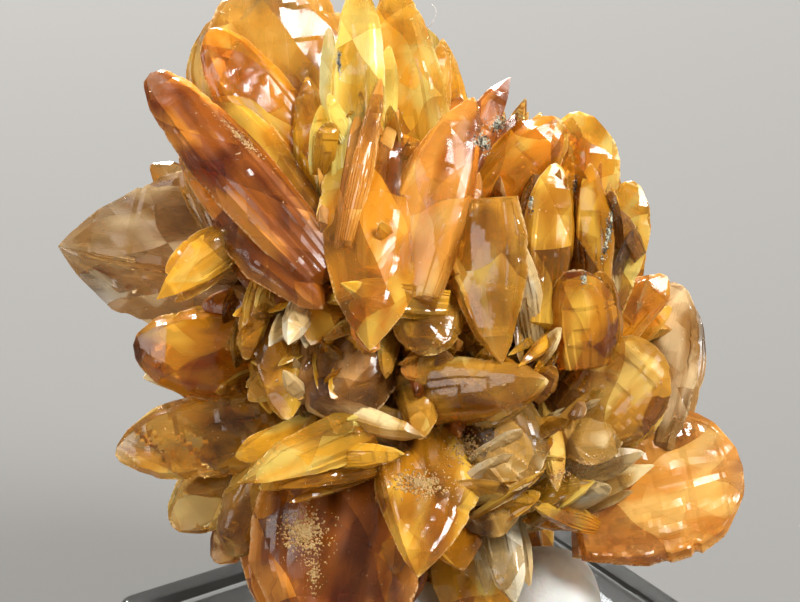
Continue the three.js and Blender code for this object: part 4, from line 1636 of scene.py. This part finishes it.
@dataclass(frozen=True)
class AcrylicBlock(Piece):
    """The polished display block: a square plate with small rounded corners and softened edges."""

    side: float = 50.0
    thick: float = 8.0
    corner: float = 1.6
    edge: float = 0.6
    turn: float = 33.7
    arc_steps: int = 8
    edge_steps: int = 4
    crease_angle: float = 40.0

    def build(self, finish: bpy.types.Material) -> None:
        """Makes, dresses and rides the block.

        Args:
            finish: The acrylic's material.
        """
        rings = []
        for step in range(self.edge_steps + 1):
            angle = step / self.edge_steps * math.pi / 2
            inset = self.edge * (1 - math.sin(angle))
            rings.append((inset, self.edge * (1 - math.cos(angle))))
        rings += [(inset, self.thick - low) for inset, low in reversed(rings)]
        shell = bmesh.new()
        loops = [[shell.verts.new(p * MM) for p in self._outline(inset, z)] for inset, z in rings]
        for low, high in zip(loops, loops[1:]):
            for i in range(len(low)):
                j = (i + 1) % len(low)
                shell.faces.new((low[i], low[j], high[j], high[i]))
        shell.faces.new(loops[0][::-1])
        shell.faces.new(loops[-1])
        mesh = self.mesh("display_block", shell)
        mesh.shade_smooth()
        mesh.set_sharp_from_angle(angle=math.radians(self.crease_angle))
        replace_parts(self.shown("display_block", mesh, finish), "acrylic_block")

    def _outline(self, inset: float, z: float) -> list[Vector]:
        """The block's outline at one height.

        Args:
            inset: How far the softened edge stands in from the side.
            z: The height.

        Returns:
            The outline's points, in order.
        """
        spin = Matrix.Rotation(math.radians(self.turn), 3, "Z")
        points = []
        for quarter in range(4):
            start = quarter * math.pi / 2
            middle = Matrix.Rotation(start, 3, "Z") @ Vector((self.side / 2 - self.corner,) * 2 + (0,))
            for step in range(self.arc_steps + 1):
                angle = start + step / self.arc_steps * math.pi / 2
                reach = self.corner - inset
                at = middle + Vector((math.cos(angle), math.sin(angle), 0)) * reach
                points.append(spin @ at + Vector((0, 0, z)))
        return points


@dataclass
class Studio:
    """The pale floor, the soft lights and the camera."""

    eye: Eye
    floor_side: float = 4000.0
    floor_drop: float = 0.1
    floor_colour: Colour = (0.135, 0.132, 0.126, 1)
    sensor: float = 36.0
    clip_start: float = 10.0
    lights: tuple[tuple[str, Point, float, float], ...] = (
        ("key", (460, -240, 640), 320, 9.5),
        ("fill", (-560, -420, 340), 500, 3.0),
        ("back", (-160, 560, 540), 300, 19.0),
    )
    sky_colour: Colour = (1.0, 0.93, 0.82, 1)
    sky_strength: float = 0.33

    def build(self) -> None:
        """Sets up everything that isn't part of the specimen."""
        self._floor()
        self._camera()
        for light in self.lights:
            self._light(*light)
        world = bpy.data.worlds.new("studio")
        world.use_nodes = True
        sky = world.node_tree.nodes["Background"]
        sky.inputs["Color"].default_value = self.sky_colour
        sky.inputs["Strength"].default_value = self.sky_strength
        scene = bpy.context.scene
        scene.world = world
        scene.view_settings.view_transform = "Standard"
        scene.cycles.max_bounces = 5
        scene.cycles.transmission_bounces = 5
        scene.cycles.diffuse_bounces = 2
        scene.cycles.glossy_bounces = 3

    def _floor(self) -> None:
        """Lays the pale floor."""
        half, level = self.floor_side / 2 * MM, -self.floor_drop * MM
        mesh = bpy.data.meshes.new("floor")
        corners = [(x * half, y * half, level) for x, y in ((-1, -1), (1, -1), (1, 1), (-1, 1))]
        mesh.from_pydata(corners, [], [(0, 1, 2, 3)])
        floor = bpy.data.objects.new("floor", mesh)
        bpy.context.collection.objects.link(floor)
        made = bpy.data.materials.new("pale_floor")
        bench = Bench(made)
        matt = {"Base Color": self.floor_colour, "Roughness": 1.0, "Specular IOR Level": 0.0}
        bench.finish(bench.body(matt))
        mesh.materials.append(made)

    def _camera(self) -> None:
        """Puts the camera at the eye."""
        data = bpy.data.cameras.new("camera")
        data.sensor_width = self.sensor
        data.lens = self.sensor * self.eye.distance / self.eye.picture_wide
        data.clip_start = self.clip_start * MM
        camera = bpy.data.objects.new("camera", data)
        bpy.context.collection.objects.link(camera)
        turn = Matrix((self.eye.across, self.eye.upwards, self.eye.nearer)).transposed().to_4x4()
        where = Vector(self.eye.looked_at) + self.eye.nearer * self.eye.distance
        camera.matrix_world = Matrix.Translation(where * MM) @ turn
        bpy.context.scene.camera = camera

    def _light(self, name: str, where: Point, wide: float, watts: float) -> None:
        """Hangs one soft square light that faces the specimen.

        Args:
            name: What the light is for.
            where: Its place, in millimetres.
            wide: Its side, in millimetres.
            watts: Its power.
        """
        data = bpy.data.lights.new(name, "AREA")
        data.shape = "SQUARE"
        data.size = wide * MM
        data.energy = watts
        lamp = bpy.data.objects.new(name, data)
        bpy.context.collection.objects.link(lamp)
        aim = Vector(self.eye.looked_at) - Vector(where)
        turn = aim.to_track_quat("-Z", "Y").to_matrix().to_4x4()
        lamp.matrix_world = Matrix.Translation(Vector(where) * MM) @ turn


def main() -> None:
    """Builds the specimen and the studio."""
    logging.basicConfig(level=logging.INFO, format="%(name)s %(message)s")
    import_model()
    eye = Eye()
    Studio(eye).build()
    AcrylicBlock().build(AcrylicFinish().material())
    tack = TackFinish().material()
    TackLump("tack_left", -4.2, -8.0, (6.0, 5.4), 10.6).build(tack)
    TackLump("tack_right", 10.8, -3.2, (5.9, 5.4), 11.4).build(tack)
    cluster = Cluster(eye)
    cluster.build()
    LOG.info("%d pieces of crystal", len(cluster.made))
    Crusts().build(eye, cluster.made)
    Fibre().build(eye, FibreFinish().material())


if __name__ == "__main__":
    main()
